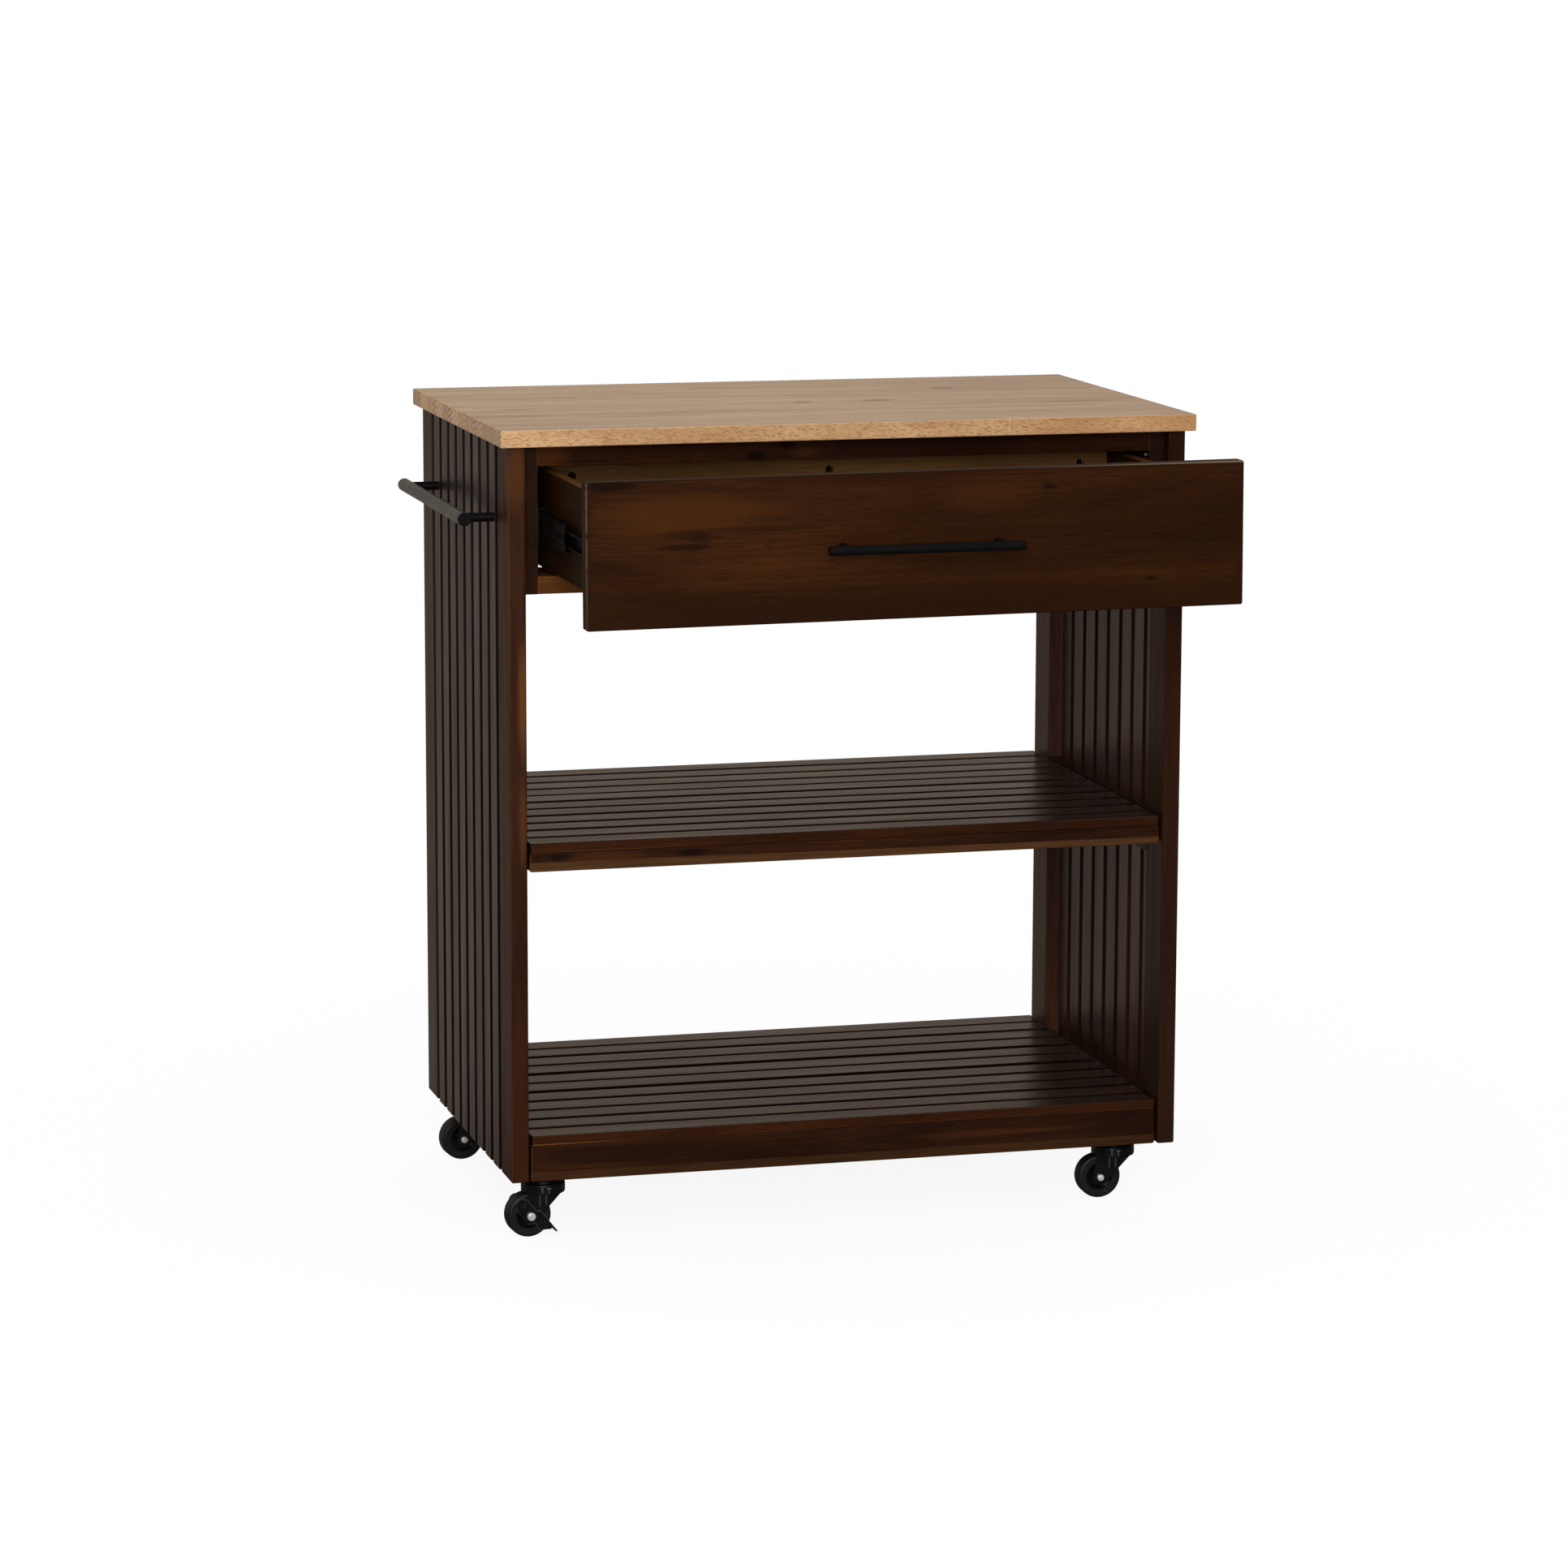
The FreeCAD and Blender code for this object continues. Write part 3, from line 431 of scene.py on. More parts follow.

# The drawer: its front, its stained sides, and the lighter boards inside
# The front's grey-beige edge tone is a painted highlight along its top and left arrises
front_tones = Tones(
    pore=(0.008, 0.003, 0.001),
    dark=(0.020, 0.0062, 0.0020),
    middle=(0.031, 0.0094, 0.0022),
    light=(0.056, 0.0170, 0.0030),
    wear_and_painted_light=(0.26, 0.19, 0.13))
side_tones = Tones(
    pore=(0.006, 0.002, 0.001),
    dark=(0.018, 0.006, 0.001),
    middle=(0.030, 0.011, 0.0015),
    light=(0.046, 0.018, 0.003),
    wear_and_painted_light=(0.20, 0.09, 0.03))
box_tones = Tones(
    pore=(0.08, 0.032, 0.010),
    dark=(0.14, 0.066, 0.020),
    middle=(0.23, 0.115, 0.036),
    light=(0.33, 0.175, 0.055),
    wear_and_painted_light=(0.42, 0.20, 0.06))

# The board under the drawer's mouth, and the bare worktop
golden_tones = Tones(
    pore=(0.045, 0.014, 0.003),
    dark=(0.085, 0.027, 0.005),
    middle=(0.145, 0.050, 0.009),
    light=(0.22, 0.080, 0.014),
    wear_and_painted_light=(0.30, 0.14, 0.03))
# The worktop's edge tone is a painted highlight along its arrises
top_tones = Tones(
    pore=(0.36, 0.135, 0.040),
    dark=(0.55, 0.31, 0.14),
    middle=(0.74, 0.475, 0.24),
    light=(0.84, 0.58, 0.32),
    wear_and_painted_light=(0.98, 0.76, 0.53))

# Single tones of the stained wood
rough_brown = colour(0.085, 0.037, 0.012)
orange = colour(0.115, 0.038, 0.006)
foot_brown = colour(0.020, 0.0085, 0.0045)

# Factors on faces: painted shade in the gaps between slats, less dark and redder in the right side's, and
# painted light warming a shelf's front slat
painted_gap_shade = colour(0.12, 0.10, 0.10)
painted_inner_gap_shade = colour(0.50, 0.28, 0.20)
painted_front_slat_light = colour(1.7, 1.2, 1.1)
drawer_rim_shade = colour(4.2, 4.8, 7.0)
warm_shade = colour(0.88, 0.79, 0.70)

# Tones of the worktop's knots, its top face with a grey painted sheen, and the ends of its staves
knot_tone = colour(0.26, 0.12, 0.05)
top_sheen_grey = colour(0.62, 0.57, 0.50)
top_pink = colour(0.80, 0.57, 0.41)
top_green = colour(0.55, 0.47, 0.32)
top_brown = colour(0.38, 0.25, 0.15)
end_pale = colour(0.64, 0.41, 0.235)
end_ring = colour(0.27, 0.125, 0.055)
end_joint = colour(0.25, 0.125, 0.055)

# Figures on front faces: tone, centre along X and Z and half lengths in shares of the board, and strength
front_figure_shares = (
    (front_tones.light, 0.14, 0.76, 0.164, 0.172, 0.7),
    (front_tones.light, 0.31, 0.42, 0.178, 0.086, 0.2),
    (front_tones.light, 0.60, 0.80, 0.082, 0.135, 0.3),
    (front_tones.pore, 0.151, 0.608, 0.044, 0.037, 0.5),
    (front_tones.pore, 0.144, 0.53, 0.0466, 0.0246, 0.7),
    (front_tones.pore, 0.172, 0.57, 0.0192, 0.0554, 0.45),
    (front_tones.pore, 0.265, 0.635, 0.1232, 0.0215, 0.45),
    (front_tones.pore, 0.033, 0.949, 0.0548, 0.0431, 0.85),
    (front_tones.pore, 0.696, 0.864, 0.0123, 0.0246, 0.7),
    (front_tones.pore, 0.855, 0.234, 0.0137, 0.0185, 0.8),
    (front_tones.dark, 0.5, 0.0, 0.657, 0.308, 0.8))
left_stile_figure_shares = (
    (orange, 0.80, 0.66, 0.40, 0.109, 0.9),
    (orange, 0.75, 0.50, 0.30, 0.0727, 0.45),
    (stile_tones.dark, 0.30, 0.72, 0.15, 0.133, 0.6),
    (orange, 0.50, 0.96, 0.70, 0.0545, 0.4),
    (stile_tones.light, 0.50, 0.10, 0.70, 0.1817, 0.35))
right_stile_figure_shares = (
    (stile_tones.light, 0.50, 0.62, 2.0, 0.206, 0.2),
    (foot_brown, 0.50, 0.15, 2.0, 0.40, 0.55))
mid_rail_figure_shares = (
    (rail_tones.pore, 0.049, 0.76, 0.0245, 0.233, 0.9),
    (rail_tones.pore, 0.252, 0.70, 0.0326, 0.233, 0.85),
    (rail_tones.light, 0.12, 0.70, 0.0816, 0.326, 0.6))
bottom_rail_figure_shares = (
    (rail_tones.dark, 0.17, 0.66, 0.1767, 0.337, 0.8),
    (rail_tones.light, 0.75, 0.60, 0.1631, 0.1446, 0.5))
stretcher_figure_shares = (
    (rail_tones.light, 0.017, 0.50, 0.0566, 1.25, 0.8),
    (rail_tones.pore, 0.40, 0.70, 0.0198, 0.292, 0.9),
    (rail_tones.pore, 0.35, 0.25, 0.0255, 0.292, 0.9),
    (rail_tones.light, 0.43, 0.35, 0.0311, 0.333, 0.5))

# The top's knots: place along X and Y and half length in shares of the top, and strength
knot_shares = (
    (0.616, 0.478, 0.0325, 0.75),
    (0.506, 0.47, 0.0175, 0.6),
    (0.762, 0.726, 0.0225, 0.55),
    (0.05, 0.30, 0.075, 0.4),
    (0.079, 0.448, 0.0375, 0.35),
    (0.90, 0.35, 0.075, 0.35))


class Wood(Surface):
    """Stained wood whose tone is laid up in steps: grain, pores, figures, wear and painted light and shade,
    and then the finish.
    """

    def __init__(self, name, tones, roughness=0.40, specular=0.15):
        super().__init__(name, roughness, specular)
        self.tones = tones

    def grow(self, along, luck, spacing=ring_spacing, streaks=0.6, blotches=0.6):
        """The grain along one axis, in a place in the log that luck picks."""
        across = [axis for axis in (X, Y, Z) if axis != along]
        order = [along] + across
        shifted = [self.plus(self.axes[axis], self.times(luck, log_spread[step]))
                   for step, axis in enumerate(order)]
        self.where = self.point(*shifted)
        self.slow = self.noise(self.where, slow_scales, 2.0)
        self.blotch = self.noise(self.where, blotch_scales, 4.0, 0.6)
        self.streak = self.noise(self.where, streak_scales, 4.0, 0.6)
        self.fibre = self.noise(self.where, fibre_scales, 3.0, 0.6)
        ring = self.ring(across, luck, spacing)
        self.tone = self.mix(self.ease(self.blotch, 0.32, 0.68), self.tones.dark, self.tones.middle)
        self.lay(self.ease(self.slow, 0.45, 0.75, 0.0, 0.8), self.tones.light)
        self.lay(self.ease(self.streak, 0.5, 0.72, 0.0, streaks), self.tones.dark)
        self.lay(self.times(ring, streaks * 0.6), self.tones.dark)
        self.lay(self.ease(self.blotch, 0.62, 0.8, 0.0, blotches), self.tones.light)

    def ring(self, across, luck, spacing):
        """Growth rings about the log's heart, each dark on its outer side."""
        legs = []
        for step, axis in enumerate(across):
            beside = self.plus(self.times(luck, heart_spread[step]), heart_distance[step])
            legs.append(self.plus(self.axes[axis], beside))
        radius = self.times(self.length(*legs), 1 / spacing)
        share = self.math("FRACT", self.plus(radius, self.times(self.slow, 9.0)))
        return self.times(self.ease(share, 0.45, 0.97), self.ease(share, 1.0, 0.97))

    def open_pores(self, pores, fibres):
        """Short dark pores and fine dark fibres."""
        dash = self.noise(self.where, dash_scales, 1.0)
        self.lay(self.ease(dash, 0.58, 0.7, 0.0, pores), self.tones.pore)
        self.lay(self.ease(self.fibre, 0.35, 0.7, 0.0, fibres), self.tones.pore)

    def fray(self, blotch_share=0.5):
        """Unevenness along the grain, which frays the edges of marks."""
        return self.plus(self.times(self.blotch, blotch_share), self.times(self.streak, 1.0 - blotch_share))

    def shade_faces(self, axis, factor, start=None):
        """A factor on the faces along an axis: all of them, or those beyond a start. It paints shade in the
        slats' gaps and light on the shelf slats' front faces, and makes the drawer sides' tops pale.
        """
        share = self.facing(axis)
        if start is not None:
            share = self.times(share, self.ease(self.axes[axis], start - face_step, start + face_step))
        self.lay(share, self.mix(1.0, self.tone, factor, "MULTIPLY"))

    def lay_band(self, start, edge, fall, strength):
        """Rougher wood along a board's foot, up to a height that falls along X from the start."""
        height = self.plus(self.axes[Z], self.times(self.minus(self.axes[X], start), fall))
        height = self.plus(height, self.times(self.minus(self.slow, 0.5), band_waver))
        grained = self.ease(self.fibre, 0.3, 0.7, strength, strength * 0.5)
        below = self.ease(height, edge + band_step, edge - band_step)
        self.lay(self.times(below, grained), rough_brown)

    def lay_spot(self, centre, half_lengths, strength, tone, blotch_share=0.5):
        """A soft patch or knot about a point, frayed along the grain."""
        total = 0.0
        for axis in (X, Y, Z):
            share = self.times(self.minus(self.axes[axis], centre[axis]), 1 / half_lengths[axis])
            total = self.plus(self.times(share, share), total)
        total = self.plus(self.math("SQRT", total), self.times(self.minus(self.fray(blotch_share), 0.5), 2.2))
        self.lay(self.ease(total, 1.1, 0.4, 0.0, strength), tone)

    def lay_figures(self, node, figure_shares, depth=figure_depth):
        """The soft patches on a node's front face; depth is how far they reach in from it."""
        low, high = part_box(node)
        size = high - low
        for tone, x_share, z_share, wide_share, tall_share, strength in figure_shares:
            centre = (low.x + size.x * x_share, low.y, low.z + size.z * z_share)
            half_lengths = (size.x * wide_share, depth, size.z * tall_share)
            self.lay_spot(centre, half_lengths, strength, tone)

    def lay_border(self, node, width, strength):
        """Darker wood along the four edges of a node's front face."""
        low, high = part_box(node)
        nearest = width
        for axis in (X, Z):
            for distance in (self.minus(self.axes[axis], low[axis]), self.minus(high[axis], self.axes[axis])):
                nearest = self.math("MINIMUM", distance, nearest)
        nearest = self.plus(nearest, self.times(self.minus(self.fray(), 0.45), width * 2.0))
        self.lay(self.ease(nearest, width, width * 0.2, 0.0, strength), self.tones.dark)

    def lay_arris_highlight(self, planes, width, strength, fade=None):
        """A lighter line along the arris of two planes, each an axis and a place, painted as the highlight
        the rounded arris catches; fade ends it along X.
        """
        away = 0.0
        for axis, place in planes:
            away = self.math("MAXIMUM", self.size(self.minus(self.axes[axis], place)), away)
        line = self.ease(away, width, width * 0.5, 0.0, strength)
        line = self.times(line, self.ease(self.fray(), 0.42, 0.5, 0.2, 1.0))
        if fade:
            full, end = fade
            line = self.times(line, self.ease(self.axes[X], end, full, 0.15, 1.0))
        self.lay(line, self.tones.wear_and_painted_light)

    def edge_wear_and_shade(self, strength, width=plain_wear_and_shade, face=None):
        """Edges in the edge tone: wear where it is lighter, painted shade where it is near black, as on the
        side slats; uneven ones all round, or even ones on the faces along one axis.
        """
        edge_mark = self.times(self.rim(width), strength)
        if face is None:
            edge_mark = self.times(edge_mark, self.ease(self.blotch, 0.3, 0.55, 0.3, 1.0))
        else:
            edge_mark = self.times(edge_mark, self.facing(face))
        self.lay(edge_mark, self.tones.wear_and_painted_light)

    def finish(self, relief=plain_relief, front_roughness=None):
        """The tone as laid up, an uneven sheen, and a fine relief along the fibres."""
        self.set("Base Color", self.tone)
        uneven = self.plus(self.streak, self.times(self.blotch, 0.6))
        sheen = self.ease(uneven, 0.5, 1.1, self.roughness - 0.06, self.roughness + 0.1)
        if front_roughness:
            sheen = self.ease(self.facing(Y), 0.0, 1.0, sheen, front_roughness)
        self.set("Roughness", sheen)
        self.bump(self.plus(self.times(self.fibre, 0.5), self.times(self.streak, 0.5)), relief)


def grown_wood(name, along, tones, seed, boards=None, roughness=0.40, specular=0.15, streaks=0.6, pores=0.5,
               fibres=0.35):
    """Wood with grain and pores; boards is an axis, a start, a pitch and how much they differ in shade."""
    wood = Wood(name, tones, roughness, specular)
    luck = seed / 10.0
    if boards:
        axis, start, pitch, contrast = boards
        board = wood.floor(wood.times(wood.minus(wood.axes[axis], start), 1 / pitch))
        luck = wood.chance(wood.plus(board, seed))
    wood.grow(along, luck, streaks=streaks)
    if boards:
        wood.tone = wood.shaded(wood.tone, wood.ease(luck, 0.0, 1.0, 1.0 - contrast, 1.0 + contrast))
    wood.open_pores(pores, fibres)
    return wood


def plain_wood(name, along, tones, seed, specular=0.15, wear=0.4, pores=0.5, fibres=0.35):
    """A plain board with slightly worn edges; with the slats' near-black edge tone, as on the bearers, its
    edges get painted shade instead.
    """
    wood = grown_wood(name, along, tones, seed, specular=specular, pores=pores, fibres=fibres)
    wood.edge_wear_and_shade(wear)
    wood.finish()
    return wood


def dress(node, surface):
    """Give a CAD node's every material slot one material."""
    piece = frame["nodes"][node]
    if not piece.material_slots:
        piece.data.materials.append(surface.material)
    for place in piece.material_slots:
        place.material = surface.material


def dress_worktop():
    """Edge-glued staves along X, each made of lengths butted end to end, with dense short flecks."""
    low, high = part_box("worktop")
    middle = (low.x + high.x) / 2
    pitch = (high.y - low.y) / stave_count
    wood = Wood("oak_top", top_tones, 0.36, 0.4)
    x, y = wood.axes[:2]
    across = wood.times(wood.minus(y, low.y), 1 / pitch)
    stave = wood.floor(across)
    along = wood.times(wood.minus(x, middle + first_joint), 1 / stave_length)
    along = wood.plus(along, wood.times(stave, stave_stagger_share))
    luck = wood.chance(wood.plus(wood.times(stave, 7.0), wood.plus(wood.floor(along), 40.0)))
    wood.grow(X, luck, top_ring_spacing, 0.55, 0.5)
    wood.tone = wood.shaded(wood.tone, wood.ease(luck, 0.0, 1.0, 0.95, 1.04))
    wood.lay(wood.ease(x, middle, high.x), wood.mix(1.0, wood.tone, warm_shade, "MULTIPLY"))
    lay_flecks(wood)
    # The top face takes a greyer cast: painted sheen
    wood.lay(wood.facing(Z), top_face(wood))
    wood.lay(wood.facing(X), end_grain(wood, across, luck, pitch, low.z))
    joint = wood.math("PINGPONG", along, 0.5)
    joint = wood.ease(joint, joint_outer / stave_length, joint_inner / stave_length, 0.0, 0.6)
    wood.lay(joint, top_tones.light)
    # Painted highlight along the arrises, in the edge tone
    wood.lay(wood.times(wood.rim(top_highlight_width), 0.55), top_tones.wear_and_painted_light)
    lay_knots(wood, low, high)
    wood.finish(top_relief)
    dress("worktop", wood)


def lay_flecks(wood):
    """Short slanting flecks, densest on the front edge, and dark fibres."""
    x, y, z = wood.axes
    slanted = wood.point(x, y, wood.plus(z, wood.times(x, fleck_slope)))
    fleck = wood.noise(slanted, fleck_scales, 1.0, 0.4)
    density = wood.ease(wood.facing(Y), 0.0, 1.0, 0.12, 0.8)
    wood.lay(wood.times(wood.ease(fleck, 0.53, 0.62), density), top_tones.pore)
    wood.lay(wood.ease(wood.fibre, 0.35, 0.75, 0.0, 0.35), top_tones.dark)


def lay_knots(wood, low, high):
    """The knots of the worktop's upper face."""
    size = high - low
    for x_share, y_share, long_share, strength in knot_shares:
        centre = (low.x + size.x * x_share, low.y + size.y * y_share, high.z)
        wood.lay_spot(centre, (size.x * long_share, knot_half_width, knot_depth), strength, knot_tone, 0.4)


def top_face(wood):
    """The top face's greyer cast, a painted sheen, in long fine streaks of pinkish, greenish and darker wood.
    """
    broad = wood.noise(wood.where, broad_streak_scales, 3.0, 0.65)
    thin = wood.noise(wood.where, thin_streak_scales, 2.0, 0.6)
    tone = wood.mix(0.26, wood.tone, top_sheen_grey)
    tone = wood.mix(wood.ease(broad, 0.46, 0.56, 0.0, 0.4), tone, top_pink)
    tone = wood.mix(wood.ease(broad, 0.46, 0.38, 0.0, 0.3), tone, top_green)
    return wood.mix(wood.ease(thin, 0.56, 0.63, 0.0, 0.45), tone, top_brown)


def end_grain(wood, across, luck, pitch, bottom):
    """The ends of the staves: arcs of growth rings about a heart below or above each."""
    heart = wood.ease(luck, 0.0, 1.0, -0.2, 1.2)
    sideways = wood.times(wood.minus(wood.math("FRACT", across), heart), pitch)
    upwards = wood.minus(wood.axes[Z], wood.ease(luck, 0.2, 0.8, bottom - heart_below, bottom + heart_above))
    ring = wood.math("FRACT", wood.times(wood.length(sideways, upwards), 1 / ring_spacing))
    line = wood.times(wood.ease(ring, 0.3, 0.8, 0.0, 0.85), wood.ease(ring, 1.0, 0.8))
    tone = wood.mix(line, end_pale, end_ring)
    joint = wood.ease(wood.math("PINGPONG", across, 0.5), 0.05, 0.02, 0.0, 0.5)
    tone = wood.mix(joint, tone, end_joint)
    return wood.shaded(tone, wood.ease(luck, 0.0, 1.0, 0.8, 1.18))


def dress_stile(node, tones, seed, specular, wear, figure_shares=(), line=0.0):
    """One corner upright; line is the strength of the painted highlight along its front outer arris."""
    wood = grown_wood(node, Z, tones, seed, specular=specular)
    wood.lay_figures(node, figure_shares)
    wood.edge_wear_and_shade(wear, narrow_wear)
    if line:
        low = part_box(node)[0]
        # Painted highlight along the front outer arris
        wood.lay_arris_highlight(((X, low.x), (Y, low.y)), frame_line_width, line)
    wood.finish(stile_relief)
    dress(node, wood)


def dress_stiles():
    """The front left stile shows its reddish and orange figure; the others are plainer and darker."""
    dress_stile("stile_front_left", stile_tones, 12.0, 0.10, 0.3, left_stile_figure_shares, 0.12)
    dress_stile("stile_front_right", rail_tones, 13.0, 0.08, 0.08, right_stile_figure_shares)
    dress_stile("stile_rear_left", dark_tones, 14.0, 0.3, 0.08)
    dress_stile("stile_rear_right", brown_tones, 15.0, 0.2, 0.08)


def dress_side_slats(side, tones, seed, specular, shade):
    """A side's upright slats, each from its own board, with painted shade in the gaps and along their long
    edges.
    """
    stile_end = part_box("stile_front_left")[1].y
    slats_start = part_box("side_slats_left")[0].y
    rear_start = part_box("stile_rear_left")[0].y
    gap = slats_start - stile_end
    pitch = (rear_start - stile_end - gap) / side_slat_count
    node = "side_slats_" + side
    boards = (Y, slats_start - gap / 2, pitch, 0.3)
    wood = grown_wood(node, Z, tones, seed, boards, 0.32, specular)
    # Painted shade on the slats' faces inside the gaps
    wood.shade_faces(Y, shade)
    # Painted shade along the slats' long edges, in the near-black edge tone
    wood.edge_wear_and_shade(1.0, face=X)
    wood.finish(side_slat_relief)
    dress(node, wood)


def dress_sides():
    """Both sides: the slats, the bearers behind them, and the boards that carry the drawer's slides."""
    dress_side_slats("left", slat_tones, 25.0, 0.34, painted_gap_shade)
    # The right side seen from inside: slats in a lighter copy of the wood, painted light, and less dark
    # painted shade in the gaps
    dress_side_slats("right", painted_light_slat_tones, 35.0, 0.25, painted_inner_gap_shade)
    for seed, side in ((25.0, "left"), (35.0, "right")):
        bearers = "side_bearers_" + side
        # The bearers' edges, in the slats' near-black edge tone, get painted shade
        dress(bearers, plain_wood(bearers, Y, slat_tones, seed + 5, 0.08))
        runner = "runner_board_" + side
        dress(runner, plain_wood(runner, Y, dark_tones, seed + 7, 0.06, 0.2))


def dress_front_rail(shelf, seed, figure_shares, edge_share, fall, strength):
    """A shelf's front rail: its figures, and a band of rougher wood along its foot."""
    node = shelf + "_shelf_front_rail"
    low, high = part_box(node)
    wood = grown_wood(shelf + "_rail", X, rail_tones, seed, specular=0.06)
    wood.lay_band(low.x, low.z + (high.z - low.z) * edge_share, fall, strength)
    wood.lay_figures(node, figure_shares)
    wood.edge_wear_and_shade(0.3, narrow_wear)
    # Painted highlight along the rail's front left arris
    wood.lay_arris_highlight(((X, low.x), (Y, low.y)), frame_line_width, 0.2)
    wood.finish(front_relief)
    dress(node, wood)


def dress_shelf_slats(shelf, seed, specular, line):
    """A shelf's slats, glossy on top, with painted light on their front faces and painted shade in the gaps;
    line is the strength of the painted highlight along the front one's lower arris.
    """
    node = shelf + "_shelf_slats"
    low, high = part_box(node)
    pitch = (high.y - low.y + shelf_slat_gap) / shelf_slat_count
    boards = (Y, low.y - shelf_slat_gap / 2, pitch, 0.2)
    wood = grown_wood(node, X, shelf_tones, seed, boards, 0.28, specular)
    # Painted light: the faces along Y made lighter and warmer, as on the lit front slat
    wood.shade_faces(Y, painted_front_slat_light)
    # Painted shade on the slats' faces inside the gaps, behind the front slat's face
    wood.shade_faces(Y, painted_gap_shade, low.y + front_slat_nose)
    fade = (low.x + slat_line_full, low.x + slat_line_end)
    # Painted highlight along the front slat's lower arris
    wood.lay_arris_highlight(((Z, low.z), (Y, low.y)), slat_line_width, line, fade)
    wood.finish(shelf_slat_relief, 0.12)
    dress(node, wood)


def dress_shelves():
    """Both shelves, and the blocks that carry the casters."""
    dress_front_rail("mid", 63.0, mid_rail_figure_shares, 0.52, 0.0044, 0.95)
    dress_front_rail("bottom", 66.0, bottom_rail_figure_shares, 0.26, 0.0, 0.35)
    dress_shelf_slats("mid", 64.0, 0.62, 0.2)
    dress_shelf_slats("bottom", 67.0, 0.43, 0.9)
    for seed, shelf in ((63.0, "mid"), (66.0, "bottom")):
        dress(shelf + "_shelf_rear_rail", plain_wood(shelf + "_rear_rail", X, dark_tones, seed + 4))
        dress(shelf + "_shelf_cleats", plain_wood(shelf + "_cleats", Y, dark_tones, seed + 2))
    dress("caster_blocks", plain_wood("caster_blocks", X, dark_tones, 71.0))


def dress_drawer_front():
    """The drawer's front: clouds, streaks and knots, darker towards its edges, and painted highlights along
    two arrises.
    """
    node = "drawer_front"
    low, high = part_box(node)
    wood = grown_wood(node, X, front_tones, 90.0, specular=0.03, streaks=0.45, pores=0.45)
    wood.lay_figures(node, front_figure_shares)
    wood.lay_border(node, border_width, 0.6)
    # Painted highlights along the left and top arrises
    wood.lay_arris_highlight(((X, low.x), (Y, low.y)), front_line_width, 0.28)
    wood.lay_arris_highlight(((Z, high.z), (Y, low.y)), front_line_width, 0.6)
    wood.finish(front_relief)
    dress(node, wood)


def dress_drawer_side(side, seed):
    """A side of the drawer's box, stained outside and pale along its upper edge."""
    node = "drawer_side_" + side
    wood = grown_wood(node, Y, side_tones, seed, specular=0.04)
    wood.shade_faces(Z, drawer_rim_shade)
    wood.edge_wear_and_shade(0.5)
    wood.finish()
    dress(node, wood)


def dress_drawer():
    """The drawer's front, its two sides and its lighter boards."""
    dress_drawer_front()
    dress_drawer_side("left", 33.0)
    dress_drawer_side("right", 43.0)
    for seed, node in ((31.0, "drawer_inner_front"), (32.0, "drawer_back"), (33.0, "drawer_bottom")):
        dress(node, plain_wood(node, X, box_tones, seed, 0.08, pores=0.35, fibres=0.25))


def dress_carcass():
    """The boards at the drawer's mouth and behind it."""
    node = "front_top_stretcher"
    wood = grown_wood(node, X, rail_tones, 41.0, specular=0.03)
    wood.lay_figures(node, stretcher_figure_shares, stretcher_figure_depth)
    wood.edge_wear_and_shade(0.4)
    wood.finish()
    dress(node, wood)
    dress("front_bottom_stretcher", plain_wood("front_bottom_stretcher", X, golden_tones, 42.0, 0.06))
    dress("rear_apron", plain_wood("rear_apron", X, dark_tones, 43.0))


# Metal and rubber

# Painted highlight along a fork's creases, and the painted glint at their top
crease_highlight_tone = colour(0.040, 0.038, 0.038)
painted_glint_tone = colour(0.14, 0.13, 0.13)
core_tone = colour(0.0035, 0.0035, 0.0035)
tread_tone = colour(0.0075, 0.0075, 0.0078)


def metal(name, tone, roughness, metallic=0.0, relief_share=1.0, specular=0.5, wear_and_painted_light=None, edge_radius=0.0):
    """Coated or bare metal with fine unevenness, and lighter edges in the given edge tone: painted highlights
    where the edges catch the light.
    """
    surface = Surface(name, roughness, specular, metallic)
    where = surface.point(*surface.axes)
    fine = surface.noise(where, even(900.0), 2.0)
    broad = surface.noise(where, even(40.0), 3.0)
    surface.tone = surface.shaded(colour(*tone), surface.ease(broad, 0.3, 0.7, 0.85, 1.2))
    if wear_and_painted_light:
        edge_mark = surface.times(surface.rim(edge_light_reach), surface.ease(broad, 0.35, 0.6, 0.0, 0.7))
        surface.lay(edge_mark, colour(*wear_and_painted_light))
    surface.set("Base Color", surface.tone)
    surface.set("Roughness", surface.ease(broad, 0.3, 0.7, roughness - 0.05, roughness + 0.08))
    surface.bump(fine, metal_relief * relief_share, edge_radius)
    return surface


def black_steel(name, wear_and_painted_light=None, edge_radius=0.0):
    """The casters' glossy black steel."""
    return metal(name, (0.0045, 0.0045, 0.005), 0.26, specular=0.4, wear_and_painted_light=wear_and_painted_light, edge_radius=edge_radius)


def from_axle(surface, corner):
    """How far a point lies ahead of a caster's axle, along the fork, and above it."""
    for joint in frame["record"]["behaviour"]["joints"]:
        if joint["name"] == "wheel_" + corner + "_roll":
            axle = Vector(joint["pos_m"])
            axis = Vector(joint["axis"])
    forwards = Vector((axis.y, -axis.x, 0.0))
    ahead = -axle.dot(forwards)
    for number in (X, Y, Z):
        ahead = surface.plus(surface.times(surface.axes[number], forwards[number]), ahead)
    return ahead, surface.minus(surface.axes[Z], axle.z)


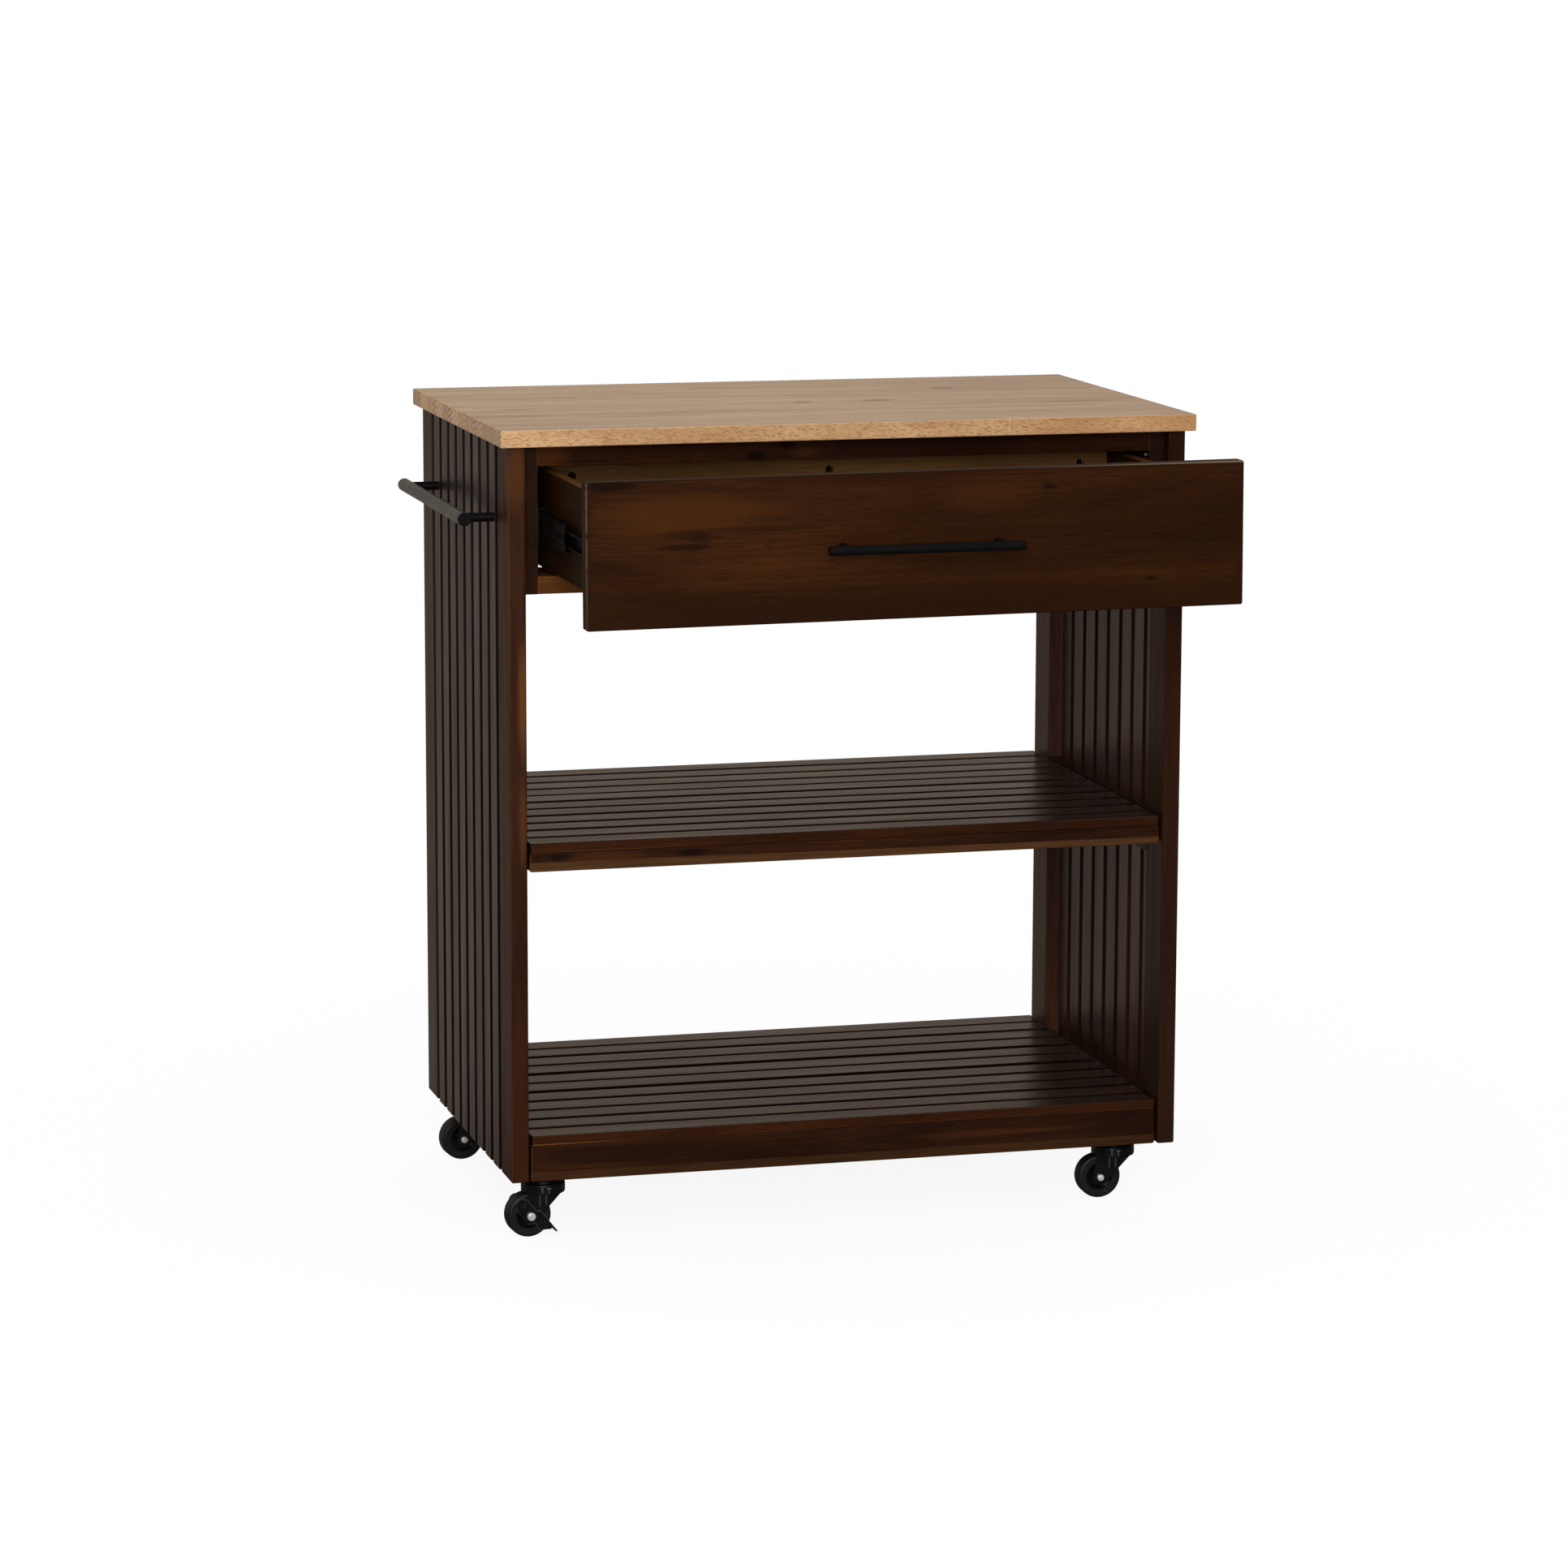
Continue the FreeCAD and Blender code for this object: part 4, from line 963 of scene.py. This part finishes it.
def dress_fork(corner):
    """A caster's fork, with painted highlights along the pressed creases of its legs and a painted glint at
    the top of each.
    """
    surface = black_steel("fork_" + corner, edge_radius=steel_edge)
    ahead, height = from_axle(surface, corner)
    foot = surface.ease(height, crease_foot, crease_full)
    top = surface.ease(height, crease_top, crease_top_full)
    near_glint = surface.size(surface.minus(height, glint_height))
    for place, glint_half_width in creases:
        offset = surface.size(surface.minus(ahead, place))
        line = surface.ease(offset, crease_half_width, crease_half_width * 0.3)
        surface.lay(surface.times(line, surface.times(foot, top)), crease_highlight_tone)
        glint = surface.times(surface.ease(offset, glint_half_width, glint_half_width * 0.5),
                              surface.ease(near_glint, glint_outer, glint_inner))
        surface.lay(glint, painted_glint_tone)
    surface.set("Base Color", surface.tone)
    dress("caster_fork_" + corner, surface)


def dress_wheel(corner):
    """A caster's wheel: a satin tread round a glossy core."""
    surface = Surface("wheel_" + corner, 0.4, 0.35)
    radius = surface.length(*from_axle(surface, corner))
    tread = surface.ease(radius, tread_radius - tread_step, tread_radius + tread_step)
    where = surface.point(*surface.axes)
    broad = surface.noise(where, even(60.0), 3.0)
    fine = surface.noise(where, even(1500.0), 2.0)
    tone = surface.mix(tread, core_tone, tread_tone)
    surface.set("Base Color", surface.shaded(tone, surface.ease(broad, 0.3, 0.7, 0.8, 1.25)))
    gloss = surface.ease(tread, 0.0, 1.0, 0.16, 0.44)
    surface.set("Roughness", surface.plus(gloss, surface.times(broad, 0.08)))
    surface.bump(fine, wheel_relief, wheel_edge)
    dress("caster_wheel_" + corner, surface)


def dress_metal():
    """Every metal piece by its material slot, and then the pieces with a finish of their own."""
    steel = black_steel("black_steel", edge_radius=steel_edge)
    finish_of = {
        "black_metal": metal("black_metal", (0.0035, 0.0033, 0.0034), 0.38, relief_share=0.3, specular=0.09),
        # The slides' lighter edges are painted highlights
        "slide_steel": metal("slide_steel", (0.0035, 0.0035, 0.0036), 0.36, specular=0.04,
                             wear_and_painted_light=(0.05, 0.046, 0.04)),
        "black_steel": steel,
        "zinc": metal("zinc", (0.80, 0.80, 0.76), 0.24, metallic=0.45, edge_radius=zinc_edge),
        "screw_steel": metal("screw_steel", (0.30, 0.29, 0.27), 0.35, metallic=1.0)}
    for row in frame["record"]["subparts"]:
        if row["material_slot"] in finish_of:
            dress(row["node"], finish_of[row["material_slot"]])
    dress("towel_bar", metal("satin_bar", (0.050, 0.049, 0.047), 0.34, relief_share=0.1))
    dress("caster_plate_screws", steel)
    # The brake levers' lighter edges are painted highlights and glints
    lever = black_steel("lever_steel", wear_and_painted_light=(0.45, 0.45, 0.46))
    dress("brake_lever_front_left", lever)
    dress("brake_lever_rear_right", lever)
    for corner in ("front_left", "front_right", "rear_left", "rear_right"):
        dress_fork(corner)
        dress_wheel(corner)


# Stage, light and camera

def floor_finish():
    """White to the camera but for a faint shadow near the cart, pale to light, and a room to mirrors."""
    material = bpy.data.materials.new("floor")
    material.use_nodes = True
    graph = Tree(material.node_tree)
    x, y = graph.coordinates("Object")[:2]
    by_camera, by_mirror = graph.rays()
    shadow = graph.ease(graph.length(x, y), shadow_near, shadow_far, floor_shadow_share, 0.0)
    seen = graph.blend(shadow, graph.glow(grey(1.0), 1.0), graph.matt(grey(floor_seen_tone)))
    rear = graph.ease(y, mirrored_floor_start, mirrored_floor_end, mirrored_front, mirrored_floor_rear)
    unseen = graph.blend(by_mirror, graph.matt(grey(floor_tone)), graph.glow(mirrored_tone, rear))
    output = graph.add("ShaderNodeOutputMaterial")
    graph.feed(output.inputs[0], graph.blend(by_camera, unseen, seen))
    return material


def make_floor():
    """A plain pale floor under the cart."""
    mesh = bpy.data.meshes.new("floor")
    corners = [(x * floor_reach, y * floor_reach, 0.0) for x, y in ((-1, -1), (1, -1), (1, 1), (-1, 1))]
    mesh.from_pydata(corners, [], [(0, 1, 2, 3)])
    mesh.materials.append(floor_finish())
    floor = bpy.data.objects.new("floor", mesh)
    bpy.context.scene.collection.objects.link(floor)


def make_world():
    """White to the camera, an even room as light, and a room with a pale rear side to mirrored rays."""
    world = bpy.data.worlds.new("studio")
    bpy.context.scene.world = world
    world.use_nodes = True
    graph = Tree(world.node_tree)
    x, y, z = graph.coordinates("Generated")
    by_camera, by_mirror = graph.rays()
    rear = graph.ease(x, -0.45, 0.45, mirrored_rear_left, mirrored_rear_right)
    around = graph.ease(y, -0.1, 0.6, mirrored_front, rear)
    mirrored = graph.ease(z, 0.35, 0.9, around, mirrored_above)
    lit = graph.ease(by_mirror, 0.0, 1.0, room_strength, mirrored)
    background = graph.add("ShaderNodeBackground")
    graph.feed(background.inputs["Color"], graph.mix(by_mirror, grey(1.0), mirrored_tone))
    graph.feed(background.inputs["Strength"], graph.ease(by_camera, 0.0, 1.0, lit, 1.0))
    output = graph.add("ShaderNodeOutputWorld")
    graph.feed(output.inputs[0], background.outputs[0])


def add_key():
    """One wide soft lamp in front of the cart, a little above and to the left."""
    turn = math.radians(key_turn)
    rise = math.radians(key_rise)
    towards = Vector((-math.sin(turn) * math.cos(rise), -math.cos(turn) * math.cos(rise), math.sin(rise)))
    data = bpy.data.lights.new("key", "AREA")
    data.shape = "SQUARE"
    data.size = key_size
    data.energy = key_power
    lamp = bpy.data.objects.new("key", data)
    bpy.context.scene.collection.objects.link(lamp)
    lamp.location = key_aim + towards * key_distance
    lamp.rotation_euler = (-towards).to_track_quat("-Z", "Y").to_euler()


def add_camera():
    """The camera at the photograph's place, turn and focal length."""
    yaw = math.radians(camera_yaw)
    pitch = math.radians(camera_pitch)
    roll = math.radians(camera_roll)
    ahead = Vector((math.sin(yaw) * math.cos(pitch), math.cos(yaw) * math.cos(pitch), -math.sin(pitch)))
    level = Vector((math.cos(yaw), -math.sin(yaw), 0.0))
    upright = level.cross(ahead)
    right = level * math.cos(roll) + upright * math.sin(roll)
    up = upright * math.cos(roll) - level * math.sin(roll)
    data = bpy.data.cameras.new("camera")
    data.sensor_width = sensor_width
    data.lens = focal_pixels / image_width * sensor_width
    data.clip_end = view_reach
    camera = bpy.data.objects.new("camera", data)
    bpy.context.scene.collection.objects.link(camera)
    turn = Matrix((right, up, -ahead)).transposed()
    camera.matrix_world = Matrix.Translation(camera_place) @ turn.to_4x4()
    bpy.context.scene.camera = camera


dress_worktop()
dress_stiles()
dress_sides()
dress_carcass()
dress_shelves()
dress_drawer()
dress_metal()
make_floor()
make_world()
add_key()
add_camera()
bpy.context.scene.view_settings.view_transform = "Standard"
